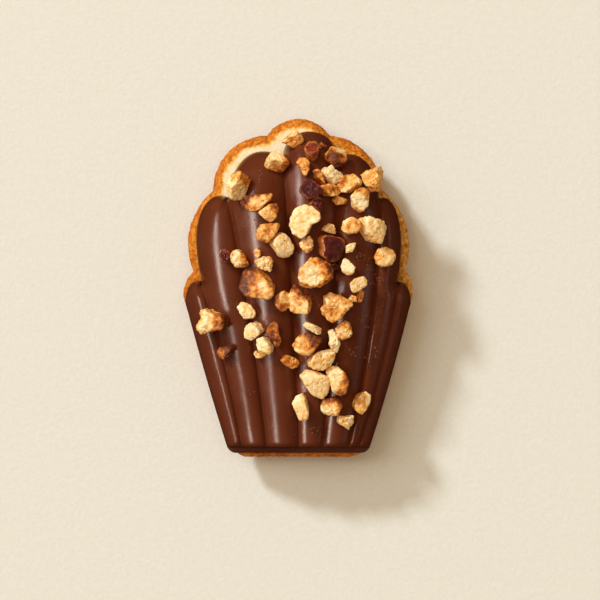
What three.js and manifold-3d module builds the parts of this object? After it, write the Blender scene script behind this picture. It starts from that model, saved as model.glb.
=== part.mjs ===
// A shell-shaped madeleine lying on its round belly, with a ribbed chocolate shell moulded over its top
// and chopped roasted nuts stuck to the chocolate.
// Millimetres. X across the shell, Y towards its wide scalloped end, Z up, Z = 0 where the belly rests.
import * as THREE from "three";
import Module from "manifold-3d";

const wasm = await Module();
wasm.setup();

// Heights of the cake.
const GAP = 0.3; // between two pieces that touch
const BELLY = 6.2; // the underside of the rim above the table
const RIM_WIDEST = 7.4; // where the rim reaches furthest out
const BELLY_REACH = 0.985; // how far out the belly comes at the rim's underside, as a share
const BELLY_CURVE = 1.6; // how the belly rises on its way out: 1 is a cone, more is a rounder bowl
const BELLY_STEPS = [0, 0.2, 0.4, 0.6, 0.8, 0.93, 1]; // where on that way its rings lie
const EDGE = 8.2; // the chocolate's lower edge beside the narrow half
const EDGE_RISE = 1.8; // how much higher that edge lies at the wide end
const DOME = 12.8; // the floor of the middle grooves above the chocolate's edge
const DOME_LOW = 0.6; // the dome's height at the narrow end, as a share of its full height
const DOME_ROUND = 1.95; // how the dome falls off across its width: 2 is an ellipse, more is squarer
const DOME_TAPER = 2.2; // the same for how its width narrows towards the wide end
const DOME_DROP = 2.4; // and for how its height comes down there
const RIB_BULGE = 0.18; // how far a rib stands out of the dome, as a share of its width
const COAT = 1.8; // thickness of the chocolate

// Plan of the dome that the grooves lie in.
const DOME_WIDEST_Y = -2;
const DOME_HIGHEST_Y = 2;
const DOME_END = [37, 38]; // where its width and its height would come to nothing past the wide end
const DOME_HALF = [17.2, 26.4]; // half its width at the narrow end and where it is widest

// Plan of the ribs. Each line runs from its foot at the narrow end to its end at the scallops: the two
// outer edges of the chocolate first and last, and the six grooves between them.
const LINES = [
  [[-15.9, -34.6], [-20.6, -19.0], [-25.0, -3.0]],
  [[-12.4, -34.6], [-17.0, -13.2], [-21.2, 1.0]],
  [[-7.0, -34.6], [-10.9, -5.0], [-15.4, 19.7]],
  [[0.0, -34.6], [-1.2, -4.0], [-3.5, 28.8]],
  [[5.3, -34.6], [7.9, 2.0], [8.6, 28.8]],
  [[10.9, -34.6], [16.0, -6.5], [17.7, 19.7]],
  [[13.3, -34.6], [18.6, -15.5], [21.9, 1.0]],
  [[15.9, -34.6], [20.6, -19.0], [24.8, -3.0]],
];
// The top of each rib's round tip, and the shoulder where a long free side turns into that tip.
const TIPS = [
  { apex: [-22.4, 1.7] },
  { apex: [-17.2, 20.5], shoulder: [-22.6, 11.0] },
  { apex: [-8.0, 30.2] },
  { apex: [2.2, 34.6] },
  { apex: [11.3, 29.6] },
  { apex: [18.6, 20.0], shoulder: [22.7, 10.0] },
  { apex: [22.6, 1.5] },
];
const FOOT_Y = LINES[0][0][1];
const LIP_Y = -35.4; // the small lip that closes the chocolate at the narrow end
const LIP_HEIGHT = 1.4;
const LIP_ROUND = 0.5;
const FOOT_DROP = 0.18; // how much the rounding at a rib's foot takes off its height
const FOOT_ROUND = 1; // and the length of that rounding
const FOOT_CORNER = 2.2; // radius of the chocolate's two corners at the narrow end
const SIDE_ROUND = 3.4; // how far in from a free side the chocolate reaches its full height
const TIP_ROUND = 3; // the same, in from the top of a tip
const GROOVE_OPENS = 4; // length over which a groove's end turns into two free sides
// Stations along Y where the ribs' sections are drawn, closer together at the lip and at the round tips.
// Every groove ends on a station.
const STATIONS = [
  LIP_Y, -35.2, -34.75, -34.55, -34.0, -31, -26, -20, -14, -9, -5.5, -3, -0.8, 0.3, 1.0,
  5, 9.5, 13.5, 16.5, 18.6, 19.7, 23, 26, 27.8, 28.8, 29.6, 31.8, 33.4, 34.3,
];
const COAT_COLUMNS = 6; // strips across one rib of the chocolate, and of the sponge under it
const CORE_COLUMNS = 4;

// Plan of the sponge's rim: the ends of the seven lobes, and the point where each lobe stands out furthest.
const LOBES = [
  { from: [-25.0, -3.4], via: [-25.2, 0.6], to: [-23.2, 3.8] },
  { from: [-23.2, 3.8], via: [-24.4, 10.9], to: [-18.8, 21.6] },
  { from: [-18.8, 21.6], via: [-15.6, 30.1], to: [-6.9, 33.8] },
  { from: [-6.9, 33.8], via: [0.4, 37.5], to: [6.9, 33.8] },
  { from: [6.9, 33.8], via: [14.9, 30.1], to: [18.4, 21.9] },
  { from: [18.4, 21.9], via: [24.4, 10.9], to: [23.6, 4.0] },
  { from: [23.6, 4.0], via: [25.2, 0.6], to: [24.8, -3.4] },
];
const NARROW_END_Y = -37.3;
const NARROW_HALF = 15.9; // half the width at the narrow end
const CORNER = 2.6; // radius of the two corners there
const FLAT_HALF = [12, 17]; // half axes of the flat spot that the cake rests on
const SPINE = [-22, 14]; // the stretch of the middle line that the rim is shrunk towards
const SPINE_CALM = 9; // within this distance of it the shrinking fades away
const RIM_INSETS = [0.5, 1.4, 2.8, 7]; // the rim's rounded top, as steps in from its outline
const RIM_RISES = [0.45, 0.8, 1, 1]; // and the share of its height reached at each

const CHOCOLATE = new THREE.MeshStandardMaterial({ color: 0x5e2f20, roughness: 0.35 });
const SPONGE = new THREE.MeshStandardMaterial({ color: 0xd08a3c, roughness: 0.85 });
const NUT_PALE = new THREE.MeshStandardMaterial({ color: 0xf0cd8a, roughness: 0.7 });
const NUT_TOASTED = new THREE.MeshStandardMaterial({ color: 0xd98f45, roughness: 0.7 });
const CARAMEL = new THREE.MeshStandardMaterial({ color: 0x5a2416, roughness: 0.4 });

const clamp = THREE.MathUtils.clamp;
const lerp = THREE.MathUtils.lerp;
const smooth = THREE.MathUtils.smoothstep;

// 0 at an edge, rising like a quarter of a circle to 1 at the given distance from it.
function rounding(distance, radius) {
  const left = 1 - clamp(distance / radius, 0, 1);
  return Math.sqrt(1 - left * left);
}

// The x of a line at the given y: the parabola through its three plan points, with the outer lines turned
// in round the corners of the narrow end.
function lineX(index, y) {
  const [[x0, y0], [x1, y1], [x2, y2]] = LINES[index];
  const a = ((y - y1) * (y - y2)) / ((y0 - y1) * (y0 - y2));
  const b = ((y - y0) * (y - y2)) / ((y1 - y0) * (y1 - y2));
  const c = ((y - y0) * (y - y1)) / ((y2 - y0) * (y2 - y1));
  const corner = isOuter(index) ? FOOT_CORNER * (1 - rounding(y - LIP_Y, FOOT_CORNER)) : 0;
  return a * x0 + b * x1 + c * x2 - Math.sign(x0) * corner;
}

function isOuter(index) {
  return index === 0 || index === LINES.length - 1;
}

// The x of one side of a rib (-1 left, 1 right): its groove up to the groove's end, then its free tip.
function sideX(rib, side, y) {
  const index = side < 0 ? rib : rib + 1;
  const [endX, endY] = LINES[index][2];
  if (y <= endY) return lineX(index, y);
  const { apex, shoulder } = TIPS[rib];
  const outer = Math.sign(apex[0]) === side;
  const [turnX, turnY] = shoulder && outer ? shoulder : LINES[index][2];
  if (y <= turnY) return lerp(endX, turnX, Math.sin(((y - endY) / (turnY - endY)) * (Math.PI / 2)));
  const rise = clamp((y - turnY) / (apex[1] - turnY), 0, 1);
  return apex[0] + (turnX - apex[0]) * Math.sqrt(1 - rise * rise);
}

// How far a line is free of a neighbour: 0 along a groove, 1 past the groove's end and on the outer edges.
function freedom(index, y) {
  const endY = LINES[index][2][1];
  return isOuter(index) ? 1 : smooth(y, endY - GROOVE_OPENS, endY);
}

// How much of its full height the chocolate has reached at a plan point of a rib, going in from the free
// sides.
function shareOfHeight(rib, x, y) {
  const lost = (index, inwards) => freedom(index, y) * (1 - rounding(inwards, SIDE_ROUND));
  let share = rounding(TIPS[rib].apex[1] - y, TIP_ROUND);
  TIPS.forEach(({ apex }, other) => {
    if (y >= apex[1]) return;
    if (other <= rib) share *= 1 - lost(other, x - sideX(other, -1, y));
    if (other >= rib) share *= 1 - lost(other + 1, sideX(other, 1, y) - x);
  });
  return share;
}

// Height of the chocolate's lower edge, which climbs towards the wide end.
function edgeZ(y) {
  return EDGE + EDGE_RISE * smooth(y, -2, 24);
}

// Height of the smooth dome that the grooves lie in, above the chocolate's edge.
function domeRise(x, y) {
  const fall = (distance, reach, power) => (1 - clamp(distance / reach, 0, 1) ** power) ** (1 / power);
  const half = y > DOME_WIDEST_Y
    ? DOME_HALF[1] * fall(y - DOME_WIDEST_Y, DOME_END[0] - DOME_WIDEST_Y, DOME_TAPER)
    : lerp(...DOME_HALF, (y - LIP_Y) / (DOME_WIDEST_Y - LIP_Y));
  const along = y > DOME_HIGHEST_Y
    ? fall(y - DOME_HIGHEST_Y, DOME_END[1] - DOME_HIGHEST_Y, DOME_DROP)
    : lerp(DOME_LOW, 1, smooth(y, NARROW_END_Y, DOME_HIGHEST_Y));
  return DOME * along * fall(Math.abs(x), half, DOME_ROUND);
}

// Height of a rib's outer surface above the chocolate's edge at a plan point.
function ribRise(rib, x, y) {
  const left = sideX(rib, -1, y);
  const right = sideX(rib, 1, y);
  const u = (2 * x - left - right) / Math.max(right - left, 1e-3);
  const bulge = RIB_BULGE * (right - left) * (1 - u * u);
  const full = (domeRise(x, y) + bulge) * shareOfHeight(rib, x, y);
  const lip = Math.min(full, LIP_HEIGHT * rounding(y - LIP_Y, LIP_ROUND));
  if (y < FOOT_Y) return lip;
  return lerp(full, lip, FOOT_DROP * (1 - rounding(y - FOOT_Y, FOOT_ROUND)));
}

// The surface of the ribs, with the given thickness of chocolate taken off its top and its free edge.
function ribbedSurface(depth, columns) {
  const points = [];
  const faces = [];
  const known = new Map();
  const point = (rib, x, y) => {
    const key = [x, y].map((v) => v.toFixed(3)).join();
    if (!known.has(key)) {
      const rise = ribRise(rib, x, y);
      const z = edgeZ(y) + rise - (depth * rise) / (rise + 1);
      known.set(key, points.push(new THREE.Vector3(...shrunk(x, y, depth), z)) - 1);
    }
    return known.get(key);
  };
  TIPS.forEach(({ apex }, rib) => {
    const rows = STATIONS.filter((y) => y < apex[1] - 0.05).map((y) => {
      const [left, right] = [sideX(rib, -1, y), sideX(rib, 1, y)];
      return Array.from({ length: columns + 1 }, (_, i) => {
        return point(rib, lerp(left, right, (1 - Math.cos((i / columns) * Math.PI)) / 2), y);
      });
    });
    for (let row = 0; row + 1 < rows.length; row++) {
      for (let i = 0; i < columns; i++) {
        const [a, b, c, d] = [rows[row][i], rows[row][i + 1], rows[row + 1][i + 1], rows[row + 1][i]];
        faces.push(a, b, c, a, c, d);
      }
    }
    const last = rows[rows.length - 1];
    const tip = point(rib, ...apex);
    for (let i = 0; i < columns; i++) faces.push(last[i], last[i + 1], tip);
  });
  return { points, faces };
}

// A plan point moved the given distance towards the middle line, less where it is already close to it.
function shrunk(x, y, distance) {
  const spineY = clamp(y, SPINE[0], SPINE[1]);
  const length = Math.hypot(x, spineY - y);
  const share = (distance * smooth(length, 0, SPINE_CALM)) / Math.max(length, 1e-6);
  return [x - x * share, y + (spineY - y) * share];
}

// A closed solid between a surface and a copy of it with the same faces.
function between(top, bottomPoints) {
  const offset = top.points.length;
  const faces = [...top.faces];
  const border = new Set();
  for (let i = 0; i < top.faces.length; i += 3) {
    const [a, b, c] = top.faces.slice(i, i + 3);
    faces.push(a + offset, c + offset, b + offset);
    for (const [from, to] of [[a, b], [b, c], [c, a]]) {
      if (!border.delete(to + ":" + from)) border.add(from + ":" + to);
    }
  }
  for (const edge of border) {
    const [from, to] = edge.split(":").map(Number);
    faces.push(from, from + offset, to + offset, from, to + offset, to);
  }
  return solid([...top.points, ...bottomPoints], faces);
}

// A closed solid through a stack of rings with the same number of points, capped at both ends.
function loft(rings) {
  const count = rings[0].length;
  const points = rings.flat();
  const faces = [];
  for (let row = 0; row + 1 < rings.length; row++) {
    for (let i = 0; i < count; i++) {
      const a = row * count + i;
      const b = row * count + ((i + 1) % count);
      faces.push(a, b, b + count, a, b + count, a + count);
    }
  }
  const caps = [[0, true], [points.length - count, false]];
  for (const [start, reversed] of caps) {
    const ring = points.slice(start, start + count);
    const centre = ring.reduce((sum, p) => sum.add(p), new THREE.Vector3()).divideScalar(count);
    const middle = points.push(centre) - 1;
    for (let i = 0; i < count; i++) {
      const [a, b] = [start + i, start + ((i + 1) % count)];
      faces.push(middle, ...(reversed ? [b, a] : [a, b]));
    }
  }
  return solid(points, faces);
}

// A manifold-3d solid from points and triangles, turned so that its faces point out.
function solid(points, faces) {
  const vertProperties = new Float32Array(points.flatMap((p) => [p.x, p.y, p.z]));
  const make = (list) => {
    return new wasm.Manifold(new wasm.Mesh({ numProp: 3, vertProperties, triVerts: new Uint32Array(list) }));
  };
  const made = make(faces);
  return made.volume() > 0 ? made : make(faces.toReversed());
}

// Points of the circular arc from one plan point through a second to a third, without the last.
function arc(from, via, to, steps) {
  const [ax, ay] = from;
  const [bx, by] = [via[0] - ax, via[1] - ay];
  const [cx, cy] = [to[0] - ax, to[1] - ay];
  const cross = 2 * (bx * cy - by * cx);
  const ux = (cy * (bx * bx + by * by) - by * (cx * cx + cy * cy)) / cross;
  const uy = (bx * (cx * cx + cy * cy) - cx * (bx * bx + by * by)) / cross;
  const radius = Math.hypot(ux, uy);
  const start = Math.atan2(-uy, -ux);
  const turn = (angle) => {
    const swept = (start - angle) % (2 * Math.PI);
    return swept < 0 ? swept + 2 * Math.PI : swept;
  };
  const sweep = turn(Math.atan2(cy - uy, cx - ux));
  return Array.from({ length: steps }, (_, i) => {
    const angle = start - (sweep * i) / steps;
    return [ax + ux + radius * Math.cos(angle), ay + uy + radius * Math.sin(angle)];
  });
}

// The rim's outline, clockwise from the left end of the narrow edge, given as plan points.
function rimOutline() {
  const outline = [];
  const bend = CORNER * (1 - Math.SQRT1_2);
  const corner = (side) => ({
    low: [side * (NARROW_HALF - CORNER), NARROW_END_Y],
    via: [side * (NARROW_HALF - bend), NARROW_END_Y + bend],
    high: [side * NARROW_HALF, NARROW_END_Y + CORNER],
  });
  const [left, right] = [corner(-1), corner(1)];
  outline.push(...arc(left.low, left.via, left.high, 4));
  for (let i = 0; i < 6; i++) outline.push(left.high.map((v, axis) => lerp(v, LOBES[0].from[axis], i / 6)));
  LOBES.forEach(({ from, via, to }, i) => {
    const steps = i === 0 || i === LOBES.length - 1 ? 6 : 11;
    outline.push(...arc(from, via, to, steps));
  });
  const last = LOBES[LOBES.length - 1].to;
  for (let i = 0; i < 6; i++) outline.push(last.map((v, axis) => lerp(v, right.high[axis], i / 6)));
  outline.push(...arc(right.high, right.via, right.low, 4));
  for (let i = 0; i < 5; i++) outline.push([lerp(right.low[0], left.low[0], i / 5), NARROW_END_Y]);
  return outline;
}

// The rim and the round belly under it.
function rimSolid() {
  const outline = rimOutline();
  const bellyRing = (share) => {
    return outline.map(([x, y]) => {
      const angle = Math.atan2(y / FLAT_HALF[1], x / FLAT_HALF[0]);
      const flat = [FLAT_HALF[0] * Math.cos(angle), FLAT_HALF[1] * Math.sin(angle)];
      const reach = share * BELLY_REACH;
      return new THREE.Vector3(lerp(flat[0], x, reach), lerp(flat[1], y, reach), BELLY * share ** BELLY_CURVE);
    });
  };
  const rimRing = (inset, rise) => {
    return outline.map(([x, y]) => {
      return new THREE.Vector3(...shrunk(x, y, inset), lerp(RIM_WIDEST, edgeZ(y) - GAP, rise));
    });
  };
  return loft([
    ...BELLY_STEPS.map(bellyRing),
    rimRing(0, 0),
    ...RIM_INSETS.map((inset, i) => rimRing(inset, RIM_RISES[i])),
  ]);
}

const CUTS = 9; // flat breaks on a chopped piece
const CUT_NEAREST = 0.66; // how close to its middle a break can lie, as a share of its radius
const CUT_SPREAD = 0.25; // and how much further out it may be
const CUT_REGAIN = 1.12; // makes up for the size that the cuts take off a piece

// A chopped piece of nut: a ball flattened by a few random cuts, as a broken kernel is.
function chunkSolid({ size, turn, seed }) {
  let state = seed;
  const random = () => {
    state = (state * 16807) % 2147483647;
    return state / 2147483647;
  };
  const cuts = Array.from({ length: CUTS }, () => {
    const z = 2 * random() - 1;
    const angle = 2 * Math.PI * random();
    const flat = Math.sqrt(1 - z * z);
    const normal = new THREE.Vector3(flat * Math.cos(angle), flat * Math.sin(angle), z);
    return { normal, at: CUT_NEAREST + CUT_SPREAD * random() };
  });
  const ball = new THREE.IcosahedronGeometry(1, 1);
  const position = ball.getAttribute("position");
  const points = [];
  const faces = [];
  const known = new Map();
  for (let i = 0; i < position.count; i++) {
    const p = new THREE.Vector3().fromBufferAttribute(position, i);
    const key = [p.x, p.y, p.z].map((v) => v.toFixed(3)).join();
    if (!known.has(key)) {
      const reach = Math.min(1, ...cuts.map(({ normal, at }) => at / Math.max(normal.dot(p), 1e-3)));
      p.multiplyScalar(reach * CUT_REGAIN);
      p.multiply(new THREE.Vector3(...size)).divideScalar(2);
      p.applyAxisAngle(new THREE.Vector3(0, 0, 1), THREE.MathUtils.degToRad(turn));
      known.set(key, points.push(p) - 1);
    }
    faces.push(known.get(key));
  }
  return solid(points, faces);
}

// The chocolate's outer height at a plan point: that of the rib whose sides lie on either hand of it.
function topZ(x, y) {
  const under = TIPS.findIndex(({ apex }, rib) => {
    return y < apex[1] && x >= sideX(rib, -1, y) && x <= sideX(rib, 1, y);
  });
  return edgeZ(y) + ribRise(under, x, y);
}

// A named mesh of a solid.
function mesh(name, made, material) {
  const { vertProperties, triVerts } = made.getMesh();
  const geometry = new THREE.BufferGeometry();
  geometry.setAttribute("position", new THREE.BufferAttribute(vertProperties, 3));
  geometry.setIndex(new THREE.BufferAttribute(triVerts, 1));
  geometry.computeVertexNormals();
  const result = new THREE.Mesh(geometry, material);
  result.name = name;
  return result;
}

// The larger chopped pieces: where each lies, its size along X, Y and Z, and its turn about the vertical.
const CHUNKS = [
  { name: "nut_wedge", at: [-12.9, 22.2], size: [4.9, 6.9, 3.6], turn: -12, material: NUT_PALE },
  { name: "nut_sliver", at: [-7.8, 17.6], size: [8.4, 4.4, 3.2], turn: 10, material: NUT_TOASTED },
  { name: "nut_cream", at: [1.4, 14.4], size: [6.8, 6.6, 3.6], turn: 30, material: NUT_PALE },
  { name: "nut_left_pale", at: [-3.6, 9.4], size: [5.0, 5.8, 3.6], turn: 15, material: NUT_PALE },
  { name: "nut_half", at: [-8.7, 1.0], size: [7.6, 6.2, 3.8], turn: -20, material: NUT_TOASTED },
  { name: "nut_lobed", at: [3.6, 3.4], size: [7.2, 6.2, 3.6], turn: 25, material: NUT_TOASTED },
  { name: "nut_left_golden", at: [-18.2, -6.9], size: [6.4, 5.2, 3.6], turn: -8, material: NUT_TOASTED },
  { name: "nut_right_pale", at: [16.6, 12.7], size: [5.0, 6.2, 3.4], turn: 20, material: NUT_PALE },
  { name: "nut_rugged", at: [8.0, -4.0], size: [6.0, 5.4, 3.6], turn: 0, material: NUT_TOASTED },
  { name: "nut_brown_low", at: [2.1, -12.4], size: [6.2, 5.2, 3.4], turn: 12, material: NUT_TOASTED },
  { name: "nut_spotted", at: [3.4, -20.4], size: [6.8, 5.2, 3.4], turn: -30, material: NUT_PALE },
  { name: "nut_tall", at: [9.2, -19.9], size: [4.8, 7.0, 3.4], turn: 18, material: NUT_TOASTED },
  { name: "caramel_large", at: [6.9, 8.7], size: [5.9, 5.7, 3.2], turn: 0, material: CARAMEL },
];
const SUNK = 0.28; // share of a piece's thickness that lies below the ribs it bridges
const CHUNK_CLEARANCE = 1.3 * GAP; // between a piece and the chocolate under it

const outside = ribbedSurface(0, COAT_COLUMNS);
const chocolate = between(outside, ribbedSurface(COAT, COAT_COLUMNS).points);
const coreTop = ribbedSurface(COAT + GAP / 3, CORE_COLUMNS);
const lowered = coreTop.points.map(({ x, y, z }) => new THREE.Vector3(x, y, z - 2 * GAP));
const coreFloor = coreTop.points.map(({ x, y }) => new THREE.Vector3(x, y, RIM_WIDEST - 1));
const sponge = rimSolid().add(between({ points: lowered, faces: coreTop.faces }, coreFloor));
const chunkRoom = between(outside, outside.points.map(({ x, y }) => new THREE.Vector3(x, y, EDGE - 1)));
const raisedRoom = chunkRoom.translate([0, 0, CHUNK_CLEARANCE]);

const madeleine = new THREE.Group();
madeleine.add(mesh("sponge", sponge, SPONGE));
madeleine.add(mesh("chocolate_shell", chocolate, CHOCOLATE));
CHUNKS.forEach((chunk, i) => {
  const [x, y] = chunk.at;
  const z = topZ(x, y) + chunk.size[2] * (0.5 - SUNK);
  const piece = chunkSolid({ ...chunk, seed: 101 + 37 * i }).translate([x, y, z]).subtract(raisedRoom);
  madeleine.add(mesh(chunk.name, piece, chunk.material));
});

export default madeleine;
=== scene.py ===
"""Looks of a madeleine with a moulded chocolate coat and chopped roasted nuts.

Shapes are worked out in millimetres, with X across the cake, Y towards its wide scalloped
end and Z up from the surface it lies on. They become metres when a mesh is made.
"""

import logging
import math
from dataclasses import dataclass
from enum import Enum

import bmesh
import bpy
import numpy as np
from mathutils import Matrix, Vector, noise
from mathutils.bvhtree import BVHTree
from mathutils.kdtree import KDTree


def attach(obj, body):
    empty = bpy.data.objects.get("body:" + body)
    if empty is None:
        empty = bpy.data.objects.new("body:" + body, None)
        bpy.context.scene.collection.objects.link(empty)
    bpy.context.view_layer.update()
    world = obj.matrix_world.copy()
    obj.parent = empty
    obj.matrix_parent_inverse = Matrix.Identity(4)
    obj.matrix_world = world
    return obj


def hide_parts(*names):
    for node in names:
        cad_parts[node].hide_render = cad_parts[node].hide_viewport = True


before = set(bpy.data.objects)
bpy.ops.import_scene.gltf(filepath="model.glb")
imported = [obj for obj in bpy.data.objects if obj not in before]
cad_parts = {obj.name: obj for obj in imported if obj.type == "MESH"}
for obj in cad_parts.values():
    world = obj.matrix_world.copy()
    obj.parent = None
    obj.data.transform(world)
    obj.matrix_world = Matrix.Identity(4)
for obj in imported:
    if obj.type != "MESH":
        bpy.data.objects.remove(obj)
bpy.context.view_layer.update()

LOG = logging.getLogger("madeleine")
MM = 0.001
SPINE = (-22.0, 14.0)  # the stretch of the middle line that outlines are shrunk towards
ABOVE = 100.0  # a height that is clear of the whole cake

PlanPoint = tuple[float, float]
Colour = tuple[float, float, float]
ColourScale = tuple[tuple[float, Colour], ...]
Face = tuple[int, ...]


def smooth(value: np.ndarray, low: float, high: float) -> np.ndarray:
    """Rises softly from 0 at low to 1 at high.

    Args:
        value: Where to take it.
        low: Where the rise starts.
        high: Where it ends.

    Returns:
        The share reached at each value.
    """
    share = np.clip((value - low) / (high - low), 0, 1)
    return share * share * (3 - 2 * share)


def quarter_round(distance: np.ndarray, radius: float) -> np.ndarray:
    """Rises like a quarter of a circle from 0 at an edge to 1 at the radius from it.

    Args:
        distance: Distance from the edge.
        radius: Where the full height is reached.

    Returns:
        The share of the full height.
    """
    left = 1 - np.clip(distance / radius, 0, 1)
    return np.sqrt(np.clip(1 - left * left, 0, 1))


def relief(points: np.ndarray, size: float, octaves: int, seed: int) -> np.ndarray:
    """Fractal lumps and hollows, about -1 to 1.

    Args:
        points: Points in millimetres, one a row.
        size: Width of the largest lumps.
        octaves: How many finer layers are added.
        seed: Which pattern is taken.

    Returns:
        The height of the pattern at each point.
    """
    shift = Vector((seed * 7.31, seed * 3.17, seed * 5.83))
    return np.array(
        [noise.fractal(Vector(p) / size + shift, 1.0, 2.0, octaves) for p in points.tolist()]
    )


def new_object(name: str, points: np.ndarray, faces: list[Face]) -> bpy.types.Object:
    """Makes a smooth-shaded mesh object.

    Args:
        name: Name of the object.
        points: Vertices in millimetres.
        faces: Vertex numbers of each face.

    Returns:
        The object, linked to the scene.
    """
    mesh = bpy.data.meshes.new(name)
    mesh.from_pydata((points * MM).tolist(), [], faces)
    mesh.validate()
    mesh.shade_smooth()
    made = bpy.data.objects.new(name, mesh)
    bpy.context.scene.collection.objects.link(made)
    return made


def paint(piece: bpy.types.Object, name: str, values: np.ndarray) -> None:
    """Stores a value for each vertex, for the piece's material to read.

    Args:
        piece: The mesh object.
        name: Name of the attribute.
        values: One number for each vertex.
    """
    attribute = piece.data.attributes.new(name, "FLOAT", "POINT")
    attribute.data.foreach_set("value", np.asarray(values, np.float32))


def settle(piece: bpy.types.Object, nodes: list[str], finish: "Finish") -> None:
    """Dresses a piece, ties it to the frame and reports it.

    Args:
        piece: The finished mesh.
        nodes: The solids that the piece stands for.
        finish: What makes its material.
    """
    piece.data.materials.append(finish.material())
    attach(piece, "root")
    if nodes:
        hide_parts(*nodes)
    LOG.info("%s: %d faces", piece.name, len(piece.data.polygons))


# ------------------------------------------------------------------ the chocolate


@dataclass(frozen=True)
class Rib:
    """The round tip of one rib.

    A rib with a long free side has a shoulder, where that side turns into the tip.
    """

    apex: PlanPoint
    shoulder: PlanPoint | None = None


@dataclass
class ChocolateCoat:
    """The ribbed chocolate moulded over the top of the cake."""

    lines: tuple[tuple[PlanPoint, PlanPoint, PlanPoint], ...] = (
        ((-15.9, -34.6), (-20.6, -19.0), (-25.0, -3.0)),
        ((-12.4, -34.6), (-17.0, -13.2), (-21.2, 1.0)),
        ((-7.0, -34.6), (-10.9, -5.0), (-15.4, 19.7)),
        ((0.0, -34.6), (-1.2, -4.0), (-3.5, 28.8)),
        ((5.3, -34.6), (7.9, 2.0), (8.6, 28.8)),
        ((10.9, -34.6), (16.0, -6.5), (17.7, 19.7)),
        ((13.3, -34.6), (18.6, -15.5), (21.9, 1.0)),
        ((15.9, -34.6), (20.6, -19.0), (24.8, -3.0)),
    )
    ribs: tuple[Rib, ...] = (
        Rib((-22.4, 1.7)),
        Rib((-17.2, 20.5), (-22.6, 11.0)),
        Rib((-8.0, 30.2)),
        Rib((2.2, 34.6)),
        Rib((11.3, 29.6)),
        Rib((18.6, 20.0), (22.7, 10.0)),
        Rib((22.6, 1.5)),
    )
    # The narrow end: a low lip, then the wall of the ribs' feet.
    lip_y: float = -36.3
    lip_height: float = 1.4
    lip_round: float = 0.5
    foot_y: float = -34.9
    foot_wall: tuple[float, float] = (-0.2, 0.25)
    foot_drop: float = 0.2
    foot_round: float = 1.3
    foot_corner: float = 1.5
    least_width: float = 0.3
    # The lower edge, and where along the cake it climbs.
    edge: float = 8.2
    edge_rise: float = 1.8
    edge_climb: tuple[float, float] = (-2.0, 24.0)
    # The smooth dome that the grooves lie in. A power of 2 makes an ellipse, a higher one is squarer.
    dome: float = 12.8
    dome_low: float = 0.6
    dome_half: tuple[float, float] = (17.2, 26.4)
    dome_end: tuple[float, float] = (37.0, 38.0)
    dome_round: float = 1.95
    dome_taper: float = 2.2
    dome_drop: float = 2.4
    widest_y: float = -2.0
    highest_y: float = 2.0
    narrow_y: float = -37.3
    # The ribs, their grooves and their free sides.
    bulge: float = 0.265
    groove_fillet: float = 0.11
    groove_cut: float = 0.38
    groove_half: float = 0.40
    groove_starts: tuple[float, float] = (0.8, 2.6)
    side_round: float = 3.6
    edge_round: float = 0.5
    edge_share: float = 0.3
    wave: float = 0.1
    wave_width: float = 11.0
    thickness: float = 1.8
    spine_calm: float = 9.0
    # How finely it is divided.
    row_step: float = 0.32
    foot_length: float = 2.4
    foot_rows: int = 34
    tip_length: float = 3.0
    tip_rows: int = 13
    tip_turn: tuple[float, float] = (0.02, 1.4)
    mouth_rows: tuple[float, ...] = (0.0, 0.05, 0.14, 0.28)
    least_step: float = 0.012
    apex_gap: float = 0.002
    columns: int = 24
    merge_grid: int = 2000

    def line_x(self, index: int, y: np.ndarray) -> np.ndarray:
        """The x of a groove or outer edge: the parabola through its three plan points.

        Args:
            index: Which line, 0 and 7 being the outer edges.
            y: Where to take it.

        Returns:
            The x at each y.
        """
        (x0, y0), (x1, y1), (x2, y2) = self.lines[index]
        a = (y - y1) * (y - y2) / ((y0 - y1) * (y0 - y2))
        b = (y - y0) * (y - y2) / ((y1 - y0) * (y1 - y2))
        c = (y - y0) * (y - y1) / ((y2 - y0) * (y2 - y1))
        x = a * x0 + b * x1 + c * x2
        last = len(self.lines) - 1
        if index in (0, last):
            turned = np.abs(x) - self.foot_corner * (
                1 - quarter_round(y - self.lip_y, self.foot_corner)
            )
            groove = np.abs(self.line_x(1 if index == 0 else last - 1, y))
            x = np.sign(x0) * np.maximum(turned, groove + self.least_width)
        return x

    def side_x(self, rib: int, side: int, y: np.ndarray) -> np.ndarray:
        """The x of one side of a rib: its groove, then its free round tip.

        Args:
            rib: Which rib, counted from the left.
            side: -1 for its left side, 1 for its right.
            y: Where to take it.

        Returns:
            The x at each y.
        """
        index = rib if side < 0 else rib + 1
        end_x, end_y = self.lines[index][2]
        apex_x, apex_y = self.ribs[rib].apex
        turn_x, turn_y = end_x, end_y
        shoulder = self.ribs[rib].shoulder
        if shoulder and math.copysign(1, apex_x) == side:
            turn_x, turn_y = shoulder
        climb = np.clip((y - turn_y) / (apex_y - turn_y), 0, 1)
        x = apex_x + (turn_x - apex_x) * np.sqrt(1 - climb * climb)
        if turn_y > end_y:
            ease = np.sin(np.clip((y - end_y) / (turn_y - end_y), 0, 1) * math.pi / 2)
            x = np.where(y <= turn_y, end_x + (turn_x - end_x) * ease, x)
        return np.where(y <= end_y, self.line_x(index, np.minimum(y, end_y)), x)

    def edge_z(self, y: np.ndarray) -> np.ndarray:
        """Height of the chocolate's lower edge, which climbs towards the wide end."""
        return self.edge + self.edge_rise * smooth(y, *self.edge_climb)

    def dome_rise(self, x: np.ndarray, y: np.ndarray) -> np.ndarray:
        """Height of the smooth dome that the grooves lie in, above the lower edge.

        Args:
            x: Plan position across.
            y: Plan position along.

        Returns:
            The height at each point.
        """

        def fall(distance: np.ndarray, reach: np.ndarray | float, power: float) -> np.ndarray:
            """Falls from 1 to 0 at the reach, like a rounded shoulder."""
            return (1 - np.clip(distance / reach, 0, 1) ** power) ** (1 / power)

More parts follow.
